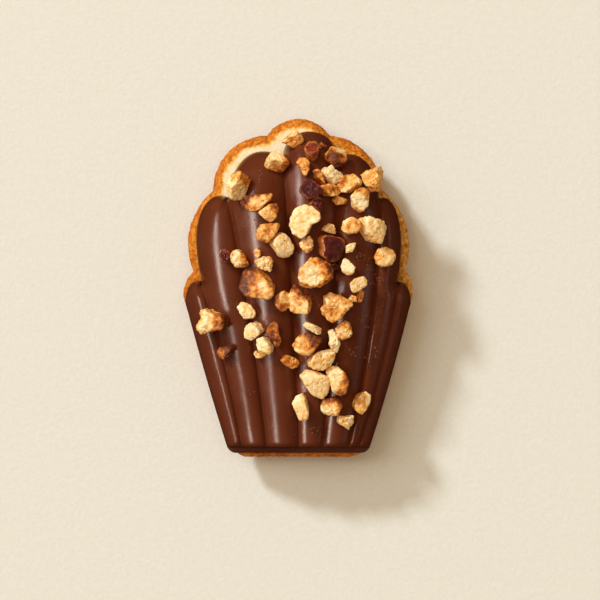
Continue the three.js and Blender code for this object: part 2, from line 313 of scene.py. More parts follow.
        low_half, high_half = self.dome_half
        width_end, height_end = self.dome_end
        share = (y - self.lip_y) / (self.widest_y - self.lip_y)
        narrow = low_half + (high_half - low_half) * share
        wide = high_half * fall(y - self.widest_y, width_end - self.widest_y, self.dome_taper)
        half = np.where(y > self.widest_y, wide, narrow)
        falling = fall(y - self.highest_y, height_end - self.highest_y, self.dome_drop)
        climbing = self.dome_low + (1 - self.dome_low) * smooth(y, self.narrow_y, self.highest_y)
        along = np.where(y > self.highest_y, falling, climbing)
        return self.dome * along * fall(np.abs(x), half, self.dome_round)

    def rows(self) -> np.ndarray:
        """The y of every row of vertices, closer together at the foot and at the tips."""
        foot_end = self.lip_y + self.foot_length
        foot = np.linspace(self.lip_y, foot_end, self.foot_rows)
        ends = sorted({line[2][1] for line in self.lines})
        apexes = sorted({rib.apex[1] for rib in self.ribs})
        even = np.arange(foot_end, apexes[-1], self.row_step)
        turns = np.linspace(*self.tip_turn, self.tip_rows)
        tips = [apex - self.tip_length * (1 - np.cos(turns)) for apex in apexes]
        mouths = [end + np.array(self.mouth_rows) for end in ends]
        rows = np.unique(np.concatenate([foot, even, *tips, *mouths]).round(4))
        keep = np.ones(len(rows), bool)
        wanted = {round(end, 4) for end in ends} | {round(self.lip_y, 4)}
        last = rows[0]
        for i in range(1, len(rows)):
            if rows[i] - last < self.least_step and rows[i] not in wanted:
                keep[i] = False
            else:
                last = rows[i]
        return rows[keep]

    def free_outline(self, rows: np.ndarray) -> np.ndarray:
        """The free edge of the chocolate, from the left foot round the tips to the right.

        Args:
            rows: The y of the rows, so that the edge's own vertices lie on it.

        Returns:
            Plan points in order.
        """
        last = len(self.lines) - 1
        start = rows[rows <= self.lines[0][2][1]]
        points = [np.column_stack([self.line_x(0, start), start])]
        for rib, tip in enumerate(self.ribs):
            sides: list[np.ndarray] = []
            for side, index in ((-1, rib), (1, rib + 1)):
                inside = rows < tip.apex[1] - self.apex_gap
                free = rows[(rows >= self.lines[index][2][1]) & inside]
                sides.append(np.column_stack([self.side_x(rib, side, free), free]))
            left, right = sides
            points.extend([left, np.array([tip.apex]), right[::-1]])
        points.append(np.column_stack([self.line_x(last, start), start])[::-1])
        return np.concatenate(points)

    @staticmethod
    def distance_to(points: np.ndarray, outline: np.ndarray) -> np.ndarray:
        """Shortest distance in plan from points to a line of joined points.

        Args:
            points: Plan points.
            outline: The line's points in order.

        Returns:
            The distance from each point.
        """
        tree = KDTree(len(outline))
        for i, (x, y) in enumerate(outline.tolist()):
            tree.insert((x, y, 0), i)
        tree.balance()
        near = np.array([tree.find((x, y, 0))[1] for x, y in points.tolist()])
        best = np.full(len(points), np.inf)
        for step in (-2, -1, 0, 1):
            a = outline[np.clip(near + step, 0, len(outline) - 1)]
            b = outline[np.clip(near + step + 1, 0, len(outline) - 1)]
            run = b - a
            length = np.maximum((run**2).sum(1), 1e-12)
            share = np.clip(((points - a) * run).sum(1) / length, 0, 1)[:, None]
            best = np.minimum(best, np.hypot(*(points - a - run * share).T))
        return best

    def grid(self) -> tuple[np.ndarray, np.ndarray, np.ndarray, list[Face]]:
        """Plan of all the ribs as one connected net of faces.

        Returns:
            Plan points, each point's height of rib above the dome, its distance from the
            rib's nearer side, and the faces.
        """
        rows = self.rows()
        plans: list[np.ndarray] = []
        bulges: list[np.ndarray] = []
        sides: list[np.ndarray] = []
        faces: list[Face] = []
        start = 0
        across = (1 - np.cos(np.linspace(0, math.pi, self.columns + 1))) / 2
        for rib, tip in enumerate(self.ribs):
            y = rows[rows < tip.apex[1] - self.apex_gap]
            left, right = self.side_x(rib, -1, y), self.side_x(rib, 1, y)
            width = (right - left)[:, None]
            x = left[:, None] + width * across
            bulge = self.bulge * width * (1 - (2 * across - 1) ** 2)
            plans.append(np.column_stack([x.ravel(), np.repeat(y, len(across))]))
            bulges.append(bulge.ravel())
            sides.append((width * np.minimum(across, 1 - across)).ravel())
            plans.append(np.array([tip.apex]))
            bulges.append(np.zeros(1))
            sides.append(np.zeros(1))
            count = len(across)
            for row in range(len(y) - 1):
                for i in range(self.columns):
                    a = start + row * count + i
                    faces.append((a, a + 1, a + count + 1, a + count))
            last = start + (len(y) - 1) * count
            apex = start + len(y) * count
            faces.extend((last + i, last + i + 1, apex) for i in range(self.columns))
            start = apex + 1
        plan, bulge, side = (np.concatenate(parts) for parts in (plans, bulges, sides))
        places = (plan * self.merge_grid).round().astype(int)
        _, first, same = np.unique(places, axis=0, return_index=True, return_inverse=True)
        same = same.ravel()
        merged = [tuple(int(same[v]) for v in face) for face in faces]
        kept = [face for face in merged if len(set(face)) == len(face)]
        return plan[first], bulge[first], side[first], kept

    def surface(self) -> tuple[np.ndarray, list[Face]]:
        """The outer surface.

        Returns:
            Its points and its faces.
        """
        plan, bulge, side, faces = self.grid()
        x, y = plan.T
        away = self.distance_to(plan, self.free_outline(self.rows()))
        bulge = np.sqrt(bulge**2 + self.groove_fillet**2)
        cut = self.groove_cut * np.exp(-((side / self.groove_half) ** 2))
        bulge -= cut * smooth(away, *self.groove_starts)
        waves = self.wave * relief(np.column_stack([plan, 0 * x]), self.wave_width, 2, 3)
        share = self.edge_share * quarter_round(away, self.edge_round)
        share = share + (1 - self.edge_share) * quarter_round(away, self.side_round)
        full = (self.dome_rise(x, y) + bulge + waves) * share
        lip = np.minimum(full, self.lip_height * quarter_round(y - self.lip_y, self.lip_round))
        low, high = self.foot_wall
        wall = smooth(y, self.foot_y + low, self.foot_y + high)
        worn = self.foot_drop * quarter_round(y - self.foot_y, self.foot_round)
        rounded = full * (1 - self.foot_drop + worn)
        rise = lip + (np.maximum(rounded, lip) - lip) * wall
        return np.column_stack([x, y, self.edge_z(y) + rise]), faces

    def inner(self, points: np.ndarray) -> np.ndarray:
        """The coat's inner surface, point for point under the outer one.

        Args:
            points: The outer surface.

        Returns:
            The points of the inner surface.
        """
        x, y, z = points.T
        spine = np.clip(y, *SPINE)
        length = np.hypot(x, spine - y)
        share = self.thickness * smooth(length, 0, self.spine_calm) / np.maximum(length, 1e-6)
        rise = z - self.edge_z(y)
        low = z - self.thickness * rise / (rise + 1)
        return np.column_stack([x - x * share, y + (spine - y) * share, low])

    def build(self) -> bpy.types.Object:
        """Makes the coat as one closed shell.

        Returns:
            The mesh object.
        """
        outer, faces = self.surface()
        count = len(outer)
        edges: set[tuple[int, int]] = set()
        for face in faces:
            for a, b in zip(face, face[1:] + face[:1]):
                if (b, a) in edges:
                    edges.remove((b, a))
                else:
                    edges.add((a, b))
        closed = list(faces)
        closed.extend(tuple(v + count for v in reversed(face)) for face in faces)
        closed.extend((b, a, a + count, b + count) for a, b in edges)
        coat = new_object("chocolate_coat", np.concatenate([outer, self.inner(outer)]), closed)
        settle(coat, ["chocolate_shell"], ChocolateFinish())
        return coat


# ------------------------------------------------------------------ the sponge


@dataclass(frozen=True)
class Lobe:
    """One scallop of the rim, as the circular arc through three plan points."""

    start: PlanPoint
    via: PlanPoint
    end: PlanPoint

    def points(self, step: float) -> np.ndarray:
        """Plan points along the arc, without the last.

        Args:
            step: Distance between points.

        Returns:
            The points in order.
        """
        a, b, c = (complex(*p) for p in (self.start, self.via, self.end))
        w = (c - a) / (b - a)
        centre = (b - a) * (w - abs(w) ** 2) / (2j * w.imag) + a
        first, last = np.angle(a - centre), np.angle(c - centre)
        sweep = (first - last) % (2 * math.pi)
        count = max(int(sweep * abs(a - centre) / step), 4)
        angles = first - sweep * np.arange(count) / count
        arc = centre + abs(a - centre) * np.exp(1j * angles)
        return np.column_stack([arc.real, arc.imag])


@dataclass
class SpongeCake:
    """The browned sponge: its scalloped rim, its round belly and the core under the coat."""

    lobes: tuple[Lobe, ...] = (
        Lobe((-25.0, -3.4), (-25.2, 0.6), (-23.2, 3.8)),
        Lobe((-23.2, 3.8), (-24.4, 10.9), (-18.8, 21.6)),
        Lobe((-18.8, 21.6), (-15.6, 30.1), (-6.9, 33.8)),
        Lobe((-6.9, 33.8), (0.4, 37.5), (6.9, 33.8)),
        Lobe((6.9, 33.8), (14.9, 30.1), (18.4, 21.9)),
        Lobe((18.4, 21.9), (24.4, 10.9), (23.6, 4.0)),
        Lobe((23.6, 4.0), (25.2, 0.6), (24.8, -3.4)),
    )
    # Plan of the narrow end, and the distance between the rim's points.
    narrow_y: float = -37.2
    narrow_half: float = 15.7
    corner: float = 4.8
    step: float = 0.24
    # How far points move on the way to the spine, as shares: in full, then ever less.
    inset_full: float = 0.8
    inset_slack: float = 0.19
    # The belly, from the flat spot it rests on to the rim's underside.
    flat_half: tuple[float, float] = (12.0, 17.0)
    flat_rings: tuple[float, ...] = (0.3, 0.7)
    flat_depth: float = -20.0
    belly: float = 6.2
    belly_curve: float = 1.6
    belly_reach: float = 0.985
    belly_rings: int = 46
    belly_depth: float = 12.0
    # The rim's rounded side, the ledge inside it and the core under the chocolate.
    widest: float = 7.4
    rim_low: float = 0.5
    rim_round: float = 2.3
    rim_rings: int = 14
    rim_from: float = 0.06
    ledge: tuple[float, float, float] = (2.55, 8.0, 0.27)
    core_insets: tuple[float, ...] = (10.0, 13.0, 16.0, 19.0, 22.0)
    core_under: float = 2.2
    gap: float = 0.3
    # The crust's relief, and where going in from the outline it comes and goes.
    crust_relief: float = 0.2
    grain_width: float = 0.7
    grain_share: float = 0.75
    grain_from: tuple[float, float] = (-11.5, -6.0)
    lump_width: float = 2.6
    lump_share: float = 0.6
    relief_from: tuple[float, float] = (-14.0, -2.0)
    relief_to: tuple[float, float] = (7.0, 9.0)
    ledge_from: tuple[float, float] = (1.4, 2.8)
    ledge_calm: float = 0.8
    most_lift: float = 0.8
    # Where the crumb shows pale: in from the rim, towards the wide end, less so on the right. Towards the
    # right edge the whole crust is made paler: painted light on the rim that the dome shades.
    crumb_inwards: tuple[float, float] = (1.1, 2.9)
    crumb_along: tuple[float, float] = (2.0, 9.0)
    crumb_ragged: float = 0.45
    browner_side: tuple[float, float] = (6.5, 10.5)
    browner: float = 0.62
    painted_light_side: tuple[float, float] = (12.0, 20.0)
    painted_light: float = 0.38

    def outline(self) -> np.ndarray:
        """Plan of the rim, clockwise from the left end of the narrow edge."""
        bend = self.corner * (1 - math.sqrt(0.5))

        def corner(side: int) -> Lobe:
            """One round corner of the narrow end, -1 left or 1 right."""
            low = (side * (self.narrow_half - self.corner), self.narrow_y)
            via = (side * (self.narrow_half - bend), self.narrow_y + bend)
            high = (side * self.narrow_half, self.narrow_y + self.corner)
            return Lobe(low, via, high) if side < 0 else Lobe(high, via, low)

        def straight(start: PlanPoint, end: PlanPoint) -> np.ndarray:
            """Points from start towards end, without the last."""
            count = int(math.dist(start, end) / self.step)
            share = (np.arange(count) / count)[:, None]
            return np.array(start) * (1 - share) + np.array(end) * share

        left, right = corner(-1), corner(1)
        return np.concatenate(
            [
                left.points(self.step),
                straight(left.end, self.lobes[0].start),
                *(lobe.points(self.step) for lobe in self.lobes),
                straight(self.lobes[-1].end, right.start),
                right.points(self.step),
                straight(right.end, left.start),
            ]
        )

    def inset(self, outline: np.ndarray, distance: float) -> np.ndarray:
        """The outline shrunk towards the middle line of the cake, which it never reaches.

        Args:
            outline: Plan points.
            distance: How far each point moves.

        Returns:
            The moved points.
        """
        spine = np.column_stack([0 * outline[:, 0], np.clip(outline[:, 1], *SPINE)])
        away = outline - spine
        length = np.hypot(*away.T)[:, None]
        share = distance / length
        full, slack = self.inset_full, self.inset_slack
        slowed = full + slack * (1 - np.exp(-(share - full) / slack))
        return outline - away * np.where(share < full, share, slowed)

    def rings(self, coat: ChocolateCoat, roof: BVHTree) -> tuple[np.ndarray, np.ndarray]:
        """Rings of points from the middle of the belly over the rim to the core's crown.

        Args:
            coat: The chocolate, for the height of its lower edge.
            roof: The chocolate's outer surface, which the core stays under.

        Returns:
            The rings, and the distance of each ring in from the outline.
        """
        outline = self.outline()
        x, y = outline.T
        half_x, half_y = self.flat_half
        angle = np.arctan2(y / half_y, x / half_x)
        flat = np.column_stack([half_x * np.cos(angle), half_y * np.sin(angle)])
        rings: list[np.ndarray] = []
        depths: list[float] = []
        for share in self.flat_rings:
            rings.append(np.column_stack([flat * share, 0 * x]))
            depths.append(self.flat_depth)
        for share in np.linspace(0, 1, self.belly_rings):
            reach = share * self.belly_reach
            height = self.belly * share**self.belly_curve + 0 * x
            rings.append(np.column_stack([flat * (1 - reach) + outline * reach, height]))
            depths.append(-self.belly_depth * (1 - share))
        top = coat.edge_z(y) - self.gap
        for turn in np.linspace(self.rim_from, math.pi / 2, self.rim_rings):
            inwards = self.rim_round * (1 - math.cos(turn))
            climb = (top - self.widest + self.rim_low) * math.sin(turn)
            height = self.widest - self.rim_low + climb
            rings.append(np.column_stack([self.inset(outline, inwards), height]))
            depths.append(inwards)
        for inwards in np.arange(*self.ledge):
            rings.append(np.column_stack([self.inset(outline, inwards), top]))
            depths.append(float(inwards))
        for inwards in self.core_insets:
            ring = self.inset(outline, inwards)
            crown = top.copy()
            for i, (px, py) in enumerate(ring.tolist()):
                hit = roof.ray_cast(Vector((px, py, ABOVE)), Vector((0, 0, -1)))[0]
                if hit:
                    crown[i] = max(crown[i], hit.z - coat.thickness - self.core_under)
            rings.append(np.column_stack([ring, crown]))
            depths.append(inwards)
        return np.array(rings), np.array(depths)

    def build(self, coat: ChocolateCoat, roof: BVHTree) -> bpy.types.Object:
        """Makes the sponge as one closed mesh.

        Args:
            coat: The chocolate on it.
            roof: The chocolate's outer surface.

        Returns:
            The mesh object.
        """
        rings, depths = self.rings(coat, roof)
        levels, count = rings.shape[:2]
        points = rings.reshape(-1, 3)
        faces: list[Face] = []
        for level in range(levels - 1):
            for i in range(count):
                a = level * count + i
                b = level * count + (i + 1) % count
                faces.append((b, a, a + count, b + count))
        bottom, crown = len(points), len(points) + 1
        last = (levels - 1) * count
        for i in range(count):
            after = (i + 1) % count
            faces.append((i, after, bottom))
            faces.append((last + after, last + i, crown))
        ends = [rings[0].mean(0), rings[-1].mean(0)]
        points = np.concatenate([points, ends])
        depth = np.concatenate([np.repeat(depths, count), [self.flat_depth, self.core_insets[-1]]])
        grains, lift = self.crust(points, depth)
        cake = new_object("sponge_cake", points, faces)
        normals = np.array([v.normal for v in cake.data.vertices])
        lifted = points + normals * np.minimum(lift, self.gap * self.most_lift)[:, None]
        lifted[:, 2] = np.maximum(lifted[:, 2], 0)
        cake.data.vertices.foreach_set("co", (lifted * MM).astype(np.float32).ravel())
        cake.data.update()
        paint(cake, "depth", depth)
        paint(cake, "grains", grains)
        paint(cake, "outer", self.toast(points, depth))
        settle(cake, ["sponge"], CrustFinish())
        return cake

    def crust(self, points: np.ndarray, depth: np.ndarray) -> tuple[np.ndarray, np.ndarray]:
        """The crust's fine grains, and how far the crust stands out of the smooth shape.

        Args:
            points: Vertices in millimetres.
            depth: Distance of each in from the outline, below 0 under the rim.

        Returns:
            The height of the grains, about -1 to 1, and the lift in millimetres.
        """
        grains = relief(points, self.grain_width, 3, 5) * smooth(depth, *self.grain_from)
        lumps = relief(points, self.lump_width, 2, 8)
        ledge = 1 - self.ledge_calm * smooth(depth, *self.ledge_from)
        free = smooth(depth, *self.relief_from) * ledge * (1 - smooth(depth, *self.relief_to))
        height = self.grain_share * grains + self.lump_share * lumps
        return grains, self.crust_relief * height * free

    def toast(self, points: np.ndarray, depth: np.ndarray) -> np.ndarray:
        """How browned the crust is, from 0 for pale crumb to 1 for toasted, lowered towards the right as
        painted light.

        Args:
            points: Vertices in millimetres.
            depth: Distance of each in from the outline.

        Returns:
            The browning of each vertex, with the painted light on the right included.
        """
        x, y = points[:, 0], points[:, 1]
        drift = self.crumb_ragged * relief(points, self.lump_width, 3, 21)
        right = self.browner * smooth(x, *self.browner_side)
        crumb = smooth(depth + drift, *self.crumb_inwards) * smooth(y, *self.crumb_along)
        # Painted light: the browning is lowered towards the right edge, where the crust lies in shade.
        return (1 - crumb * (1 - right)) * (1 - self.painted_light * smooth(x, *self.painted_light_side))


# ------------------------------------------------------------------ nuts and caramel


@dataclass(frozen=True)
class Stock:
    """What the pieces of one kind share.

    The rest is how much darker a piece gets on its outer wall, in patches, on its browner side
    and along its rim, which may itself be patchy.
    """

    mesh: str
    slot: str
    wall: float
    patches: float
    skin: float
    rim: float
    patchy_rim: bool = False


class Kind(Enum):
    """What a scattered piece is made of."""

    PALE = Stock("nuts_pale", "nut_pale", 0.10, 0.20, 0.42, 0.0)
    # The toasted pieces' rim darkening is partly browner skin and partly painted shade at the outline.
    TOASTED = Stock("nuts_toasted", "nut_toasted", 0.10, 0.34, 0.52, 0.10)
    CARAMEL = Stock("caramel_pieces", "caramel", -0.55, 0.20, 0.42, -0.5, patchy_rim=True)


@dataclass(frozen=True)
class Breakage:
    """How crisp a piece's edges are, how deep its lumps, and how many faces it has on top."""

    crisp: int
    lumps: float
    faces: int


class Cut(Enum):
    """How a piece broke."""

    SPLIT = Breakage(22, 0.06, 5)
    CRUMBLY = Breakage(18, 0.10, 5)
    KNOBBLY = Breakage(14, 0.22, 5)
    SMOOTH = Breakage(9, 0.05, 4)
    CUBE = Breakage(26, 0.04, 4)
    SLIVER = Breakage(16, 0.05, 4)


# Ranges that a broken face's lean from level, its distance and its tone are drawn from. The first
# face on top and the first underneath are nearly level.
LEVEL_LEAN = (0.02, 0.2)
FACE_LEAN = (0.3, 0.9)
FACE_REACH = (0.9, 1.5)
FACE_SHARE = 0.7
FACE_TONE = (-0.12, 0.18)
FACES_UNDER = 2
OVERHANG = 0.12  # how much a piece's wall leans: from twice this on one side to nothing opposite
WALL_INSIDE = 1.08  # what the outline's reach is divided by, before the lumps are added

# The outline's corners are rounded by a mean over three directions, divided by a touch less than
# three so that the piece fills its outline.
SOFT_TURNS = (-0.08, 0, 0.08)
SOFT_DIVISOR = 2.95

# Widths in millimetres, but for the coarse lumps, whose width is a share of the piece.
COARSE_WIDTH = 0.75
FINE_WIDTH = 0.7
CREASE_WIDTH = 1.25
PATCH_WIDTH = 1.2
RIM_PATCH_WIDTH = 1.6

# How wide a crease is in its pattern, and the same for the painted shade along it; then how much painted
# shade the creases and the hollows add to the roast.
CREASE_HALF = 0.16
CREASE_SHADE_HALF = 0.14
CREASE_SHADE = 0.18
HOLLOW_SHADE = 0.10

# Where a browner side and a browner rim start and are full, and the reach of a paler heart.
SIDE_BORDER = (-0.1, 0.75)
SIDE_RAGGED = 0.25
RIM_BORDER = (0.78, 0.98)
HEART_BORDER = (0.5, 1.7)
HEART_RAGGED = 0.5
HEART_PALER = 0.42


@dataclass(frozen=True)
class Chunk:
    """One chopped piece, given by its outline in plan.

    roast runs from 0, pale, to 1, dark, and skin is the direction in degrees, counted from
    +X towards +Y, of a browner side. core is the place of a paler heart.
    """

    outline: tuple[PlanPoint, ...]
    kind: Kind = Kind.PALE
    cut: Cut = Cut.CRUMBLY
    roast: float = 0.2
    height: float = 3.0
    skin: float | None = None
    core: PlanPoint | None = None
    node: str | None = None

    def middle(self) -> np.ndarray:
        """Centre of the outline's area."""
        corners = np.array(self.outline)
        after = np.roll(corners, -1, axis=0)
        parts = corners[:, 0] * after[:, 1] - corners[:, 1] * after[:, 0]
        return ((corners + after) * parts[:, None]).sum(0) / (3 * parts.sum())

    def plan_reach(self, angle: np.ndarray) -> np.ndarray:
        """How far the outline lies from the middle in each direction.

        Args:
            angle: Directions in radians.

        Returns:
            The distance along each direction.
        """
        corners = np.array(self.outline) - self.middle()
        run = np.roll(corners, -1, axis=0) - corners
        way = np.column_stack([np.cos(angle), np.sin(angle)])
        across = way[:, :1] * run[:, 1] - way[:, 1:] * run[:, 0]
        far = (corners[:, 0] * run[:, 1] - corners[:, 1] * run[:, 0]) / across
        place = (corners[:, 0] * way[:, 1:] - corners[:, 1] * way[:, :1]) / across
        met = (place > -1e-6) & (place < 1 + 1e-6) & (far > 0)
        return np.where(met, far, 0).max(1)

    def size(self) -> float:
        """Half of the piece's width in plan, on average."""
        return float(self.plan_reach(np.linspace(0, 6.2, 40)).mean())

    def soft_reach(self, angle: np.ndarray) -> np.ndarray:
        """The reach in plan with the outline's corners rounded, and a touch over full size."""
        return sum(self.plan_reach(angle + turn) for turn in SOFT_TURNS) / SOFT_DIVISOR

    def broken(self, ball: np.ndarray, reach: np.ndarray, seed: int) -> tuple[np.ndarray, np.ndarray]:
        """Cuts a ball down to the outline and to flat faces above and below.

        Args:
            ball: Points of a unit ball.
            reach: How far the outline lies from the middle at each point.
            seed: Which random breaks it has.

        Returns:
            The cut points, and the tone of the face that each lies on.
        """
        random = np.random.default_rng(seed)
        crisp, faces = self.cut.value.crisp, self.cut.value.faces
        size, half = self.size(), self.height / 2
        angle = np.arctan2(ball[:, 1], ball[:, 0])
        overhang = OVERHANG + OVERHANG * np.sin(angle + random.uniform(0, 6.3))
        wall = WALL_INSIDE * np.hypot(ball[:, 0], ball[:, 1]) / reach
        limits = [wall - ball[:, 2] * overhang / half]
        tones = [self.kind.value.wall]
        for number in range(faces + FACES_UNDER):
            side = 1 if number < faces else -1
            lean = random.uniform(*(LEVEL_LEAN if number in (0, faces) else FACE_LEAN))
            heading = random.uniform(0, 2 * math.pi)
            flat = math.sin(lean)
            normal = np.array(
                [flat * math.cos(heading), flat * math.sin(heading), side * math.cos(lean)]
            )
            away = half * math.cos(lean) + FACE_SHARE * size * flat * random.uniform(*FACE_REACH)
            limits.append(ball @ normal / away)
            tones.append(random.uniform(*FACE_TONE))
        held = np.clip(np.array(limits), 0, None)
        share = held ** (2 * crisp)
        points = ball / ((held**crisp).sum(0) ** (1 / crisp))[:, None]
        return points, (np.array(tones) @ share) / share.sum(0)

    def shape(self, ball: np.ndarray, seed: int) -> tuple[np.ndarray, np.ndarray]:
        """The piece round its own middle.

        Args:
            ball: Points of a unit ball.
            seed: Which random breaks it has.

        Returns:
            Its points, and how browned each is, with painted shade in its creases and hollows included.
        """
        reach = self.soft_reach(np.arctan2(ball[:, 1], ball[:, 0]))
        points, roast = self.broken(ball, reach, seed)
        size, lumps = self.size(), self.cut.value.lumps
        coarse = relief(points, size * COARSE_WIDTH, 2, seed)
        fine = relief(points, FINE_WIDTH, 3, seed + 7)
        creases = np.abs(relief(points, CREASE_WIDTH, 2, seed + 5))
        lift = lumps * size * (coarse + 0.25) + (0.08 + 0.5 * lumps) * fine
        lift -= (0.10 + 0.7 * lumps) * (1 - smooth(creases, 0, CREASE_HALF))
        points = points + ball * lift[:, None]
        patches = relief(points, PATCH_WIDTH, 2, seed + 3)
        roast = self.roast + roast + self.kind.value.patches * patches
        # Painted shade: the roast is darkened along the creases and in the hollows of the fine relief.
        crease_shade = CREASE_SHADE * (1 - smooth(creases, 0, CREASE_SHADE_HALF))
        roast += crease_shade + HOLLOW_SHADE * smooth(-fine, 0.1, 0.8)
        roast += self.browning(points, reach, coarse, seed)
        return points, np.clip(roast, 0, 1)

    def browning(
        self, points: np.ndarray, reach: np.ndarray, coarse: np.ndarray, seed: int
    ) -> np.ndarray:
        """What the browner side, the rim and the paler heart add to the roast.

        Args:
            points: The piece's points.
            reach: How far the outline lies from the middle at each.
            coarse: Height of the coarse lumps, which make the borders uneven.
            seed: Which random patches it has.

        Returns:
            The change of roast at each point.
        """
        x, y = points[:, 0], points[:, 1]
        stock = self.kind.value
        added = np.zeros(len(points))
        if self.skin is not None:
            heading = math.radians(self.skin)
            side = (x * math.cos(heading) + y * math.sin(heading)) / self.size()
            added += stock.skin * smooth(side + SIDE_RAGGED * coarse, *SIDE_BORDER)
        # Along the outline: for toasted pieces partly browner skin and partly painted shade; caramel gets a
        # lighter edge.
        rim = stock.rim * smooth(np.hypot(x, y) / reach, *RIM_BORDER)
        if stock.patchy_rim:
            rim *= smooth(relief(points, RIM_PATCH_WIDTH, 2, seed + 9), -0.35, 0.35)
        added += rim
        if self.core is not None:
            core_x, core_y = np.array(self.core) - self.middle()
            away = np.hypot(x - core_x, y - core_y) + HEART_RAGGED * coarse
            added -= HEART_PALER * (1 - smooth(away, *HEART_BORDER))
        return added


class Ground:
    """The surface that scattered pieces lie on.

    A piece is lowered until a small share of the points tested on its underside has sunk in. Its
    lean comes from the surface under the middle part of its reach.
    """

    touching = 0.06
    tested = 240
    leaning = 0.75

    def __init__(self, pieces: list[bpy.types.Object]) -> None:
        """Reads the surface of the given pieces.

        Args:
            pieces: Meshes in metres.
        """
        points: list[Vector] = []
        faces: list[Face] = []
        for piece in pieces:
            start = len(points)
            points.extend(v.co / MM for v in piece.data.vertices)
            faces.extend(tuple(v + start for v in f.vertices) for f in piece.data.polygons)
        self.tree = BVHTree.FromPolygons(points, faces)

    def height(self, x: float, y: float) -> float:
        """Height of the surface at a plan point, or 0 beside the cake."""
        hit = self.tree.ray_cast(Vector((x, y, ABOVE)), Vector((0, 0, -1)))[0]
        return hit.z if hit else 0.0

    def lay(self, points: np.ndarray, middle: np.ndarray, sink: float, lean: float) -> np.ndarray:
        """Lays a piece on the surface, leaning as the surface does.

        Args:
            points: The piece round its own middle.
            middle: Where it lies.
            sink: How deep its lowest part presses in.
            lean: How much of the surface's slope it takes.

        Returns:
            The points in place.
        """
        x0, y0 = middle
        reach = float(np.hypot(points[:, 0], points[:, 1]).max()) * self.leaning
        spots = [(reach * i / 2, reach * j / 2) for i in range(-2, 3) for j in range(-2, 3)]
        spots = [(x, y) for x, y in spots if math.hypot(x, y) <= reach]
        heights = [self.height(x0 + x, y0 + y) for x, y in spots]
        table = np.column_stack([spots, np.ones(len(spots))])
        slope_x, slope_y, _ = np.linalg.lstsq(table, np.array(heights), rcond=None)[0]
        up = Vector((-slope_x * lean, -slope_y * lean, 1)).normalized()
        matrix = np.array(Vector((0, 0, 1)).rotation_difference(up).to_matrix())
        placed = points @ matrix.T + np.array([x0, y0, 0])
        low = placed[placed[:, 2] < 0]
        tested = low[:: max(len(low) // self.tested, 1)]
        gaps = [z - self.height(x, y) for x, y, z in tested.tolist()]
        placed[:, 2] -= float(np.quantile(gaps, self.touching)) + sink
        return placed


def unit_ball(detail: int) -> tuple[np.ndarray, list[Face]]:
    """Points and faces of an evenly divided ball of radius 1.

    Args:
        detail: How often it is divided.

    Returns:
        Its points and faces.
    """
    made = bmesh.new()
    bmesh.ops.create_icosphere(made, subdivisions=detail, radius=1)
    points = np.array([v.co for v in made.verts])
    faces = [tuple(v.index for v in f.verts) for f in made.faces]
    made.free()
    return points, faces


@dataclass
class Topping:
    """The chopped nuts and caramel scattered over the chocolate."""

    ground: Ground
    chunks: tuple[Chunk, ...]
    detail: int = 5
    first_seed: int = 11
    sink: float = 0.3
    lean: float = 0.8

    def build(self, kind: Kind, finish: "Finish") -> bpy.types.Object:
        """Makes all pieces of one kind as one joined mesh.

        Args:
            kind: Which pieces.
            finish: What makes their material.

        Returns:
            The mesh object.
        """
        ball, ball_faces = unit_ball(self.detail)
        points: list[np.ndarray] = []
        roasts: list[np.ndarray] = []
        faces: list[Face] = []
        nodes: list[str] = []
        for number, chunk in enumerate(self.chunks):
            if chunk.kind is not kind:
                continue
            shape, roast = chunk.shape(ball, self.first_seed + number)
            start = len(points) * len(ball)
            points.append(self.ground.lay(shape, chunk.middle(), self.sink, self.lean))
            roasts.append(roast)
            faces.extend(tuple(v + start for v in face) for face in ball_faces)
            if chunk.node:
                nodes.append(chunk.node)
        piece = new_object(kind.value.mesh, np.concatenate(points), faces)
        paint(piece, "roast", np.concatenate(roasts))
        settle(piece, nodes, finish)
        return piece


@dataclass(frozen=True)
class Scuff:
    """A patch of crumbs pressed into the chocolate."""

    at: PlanPoint
    spread: float
    count: int


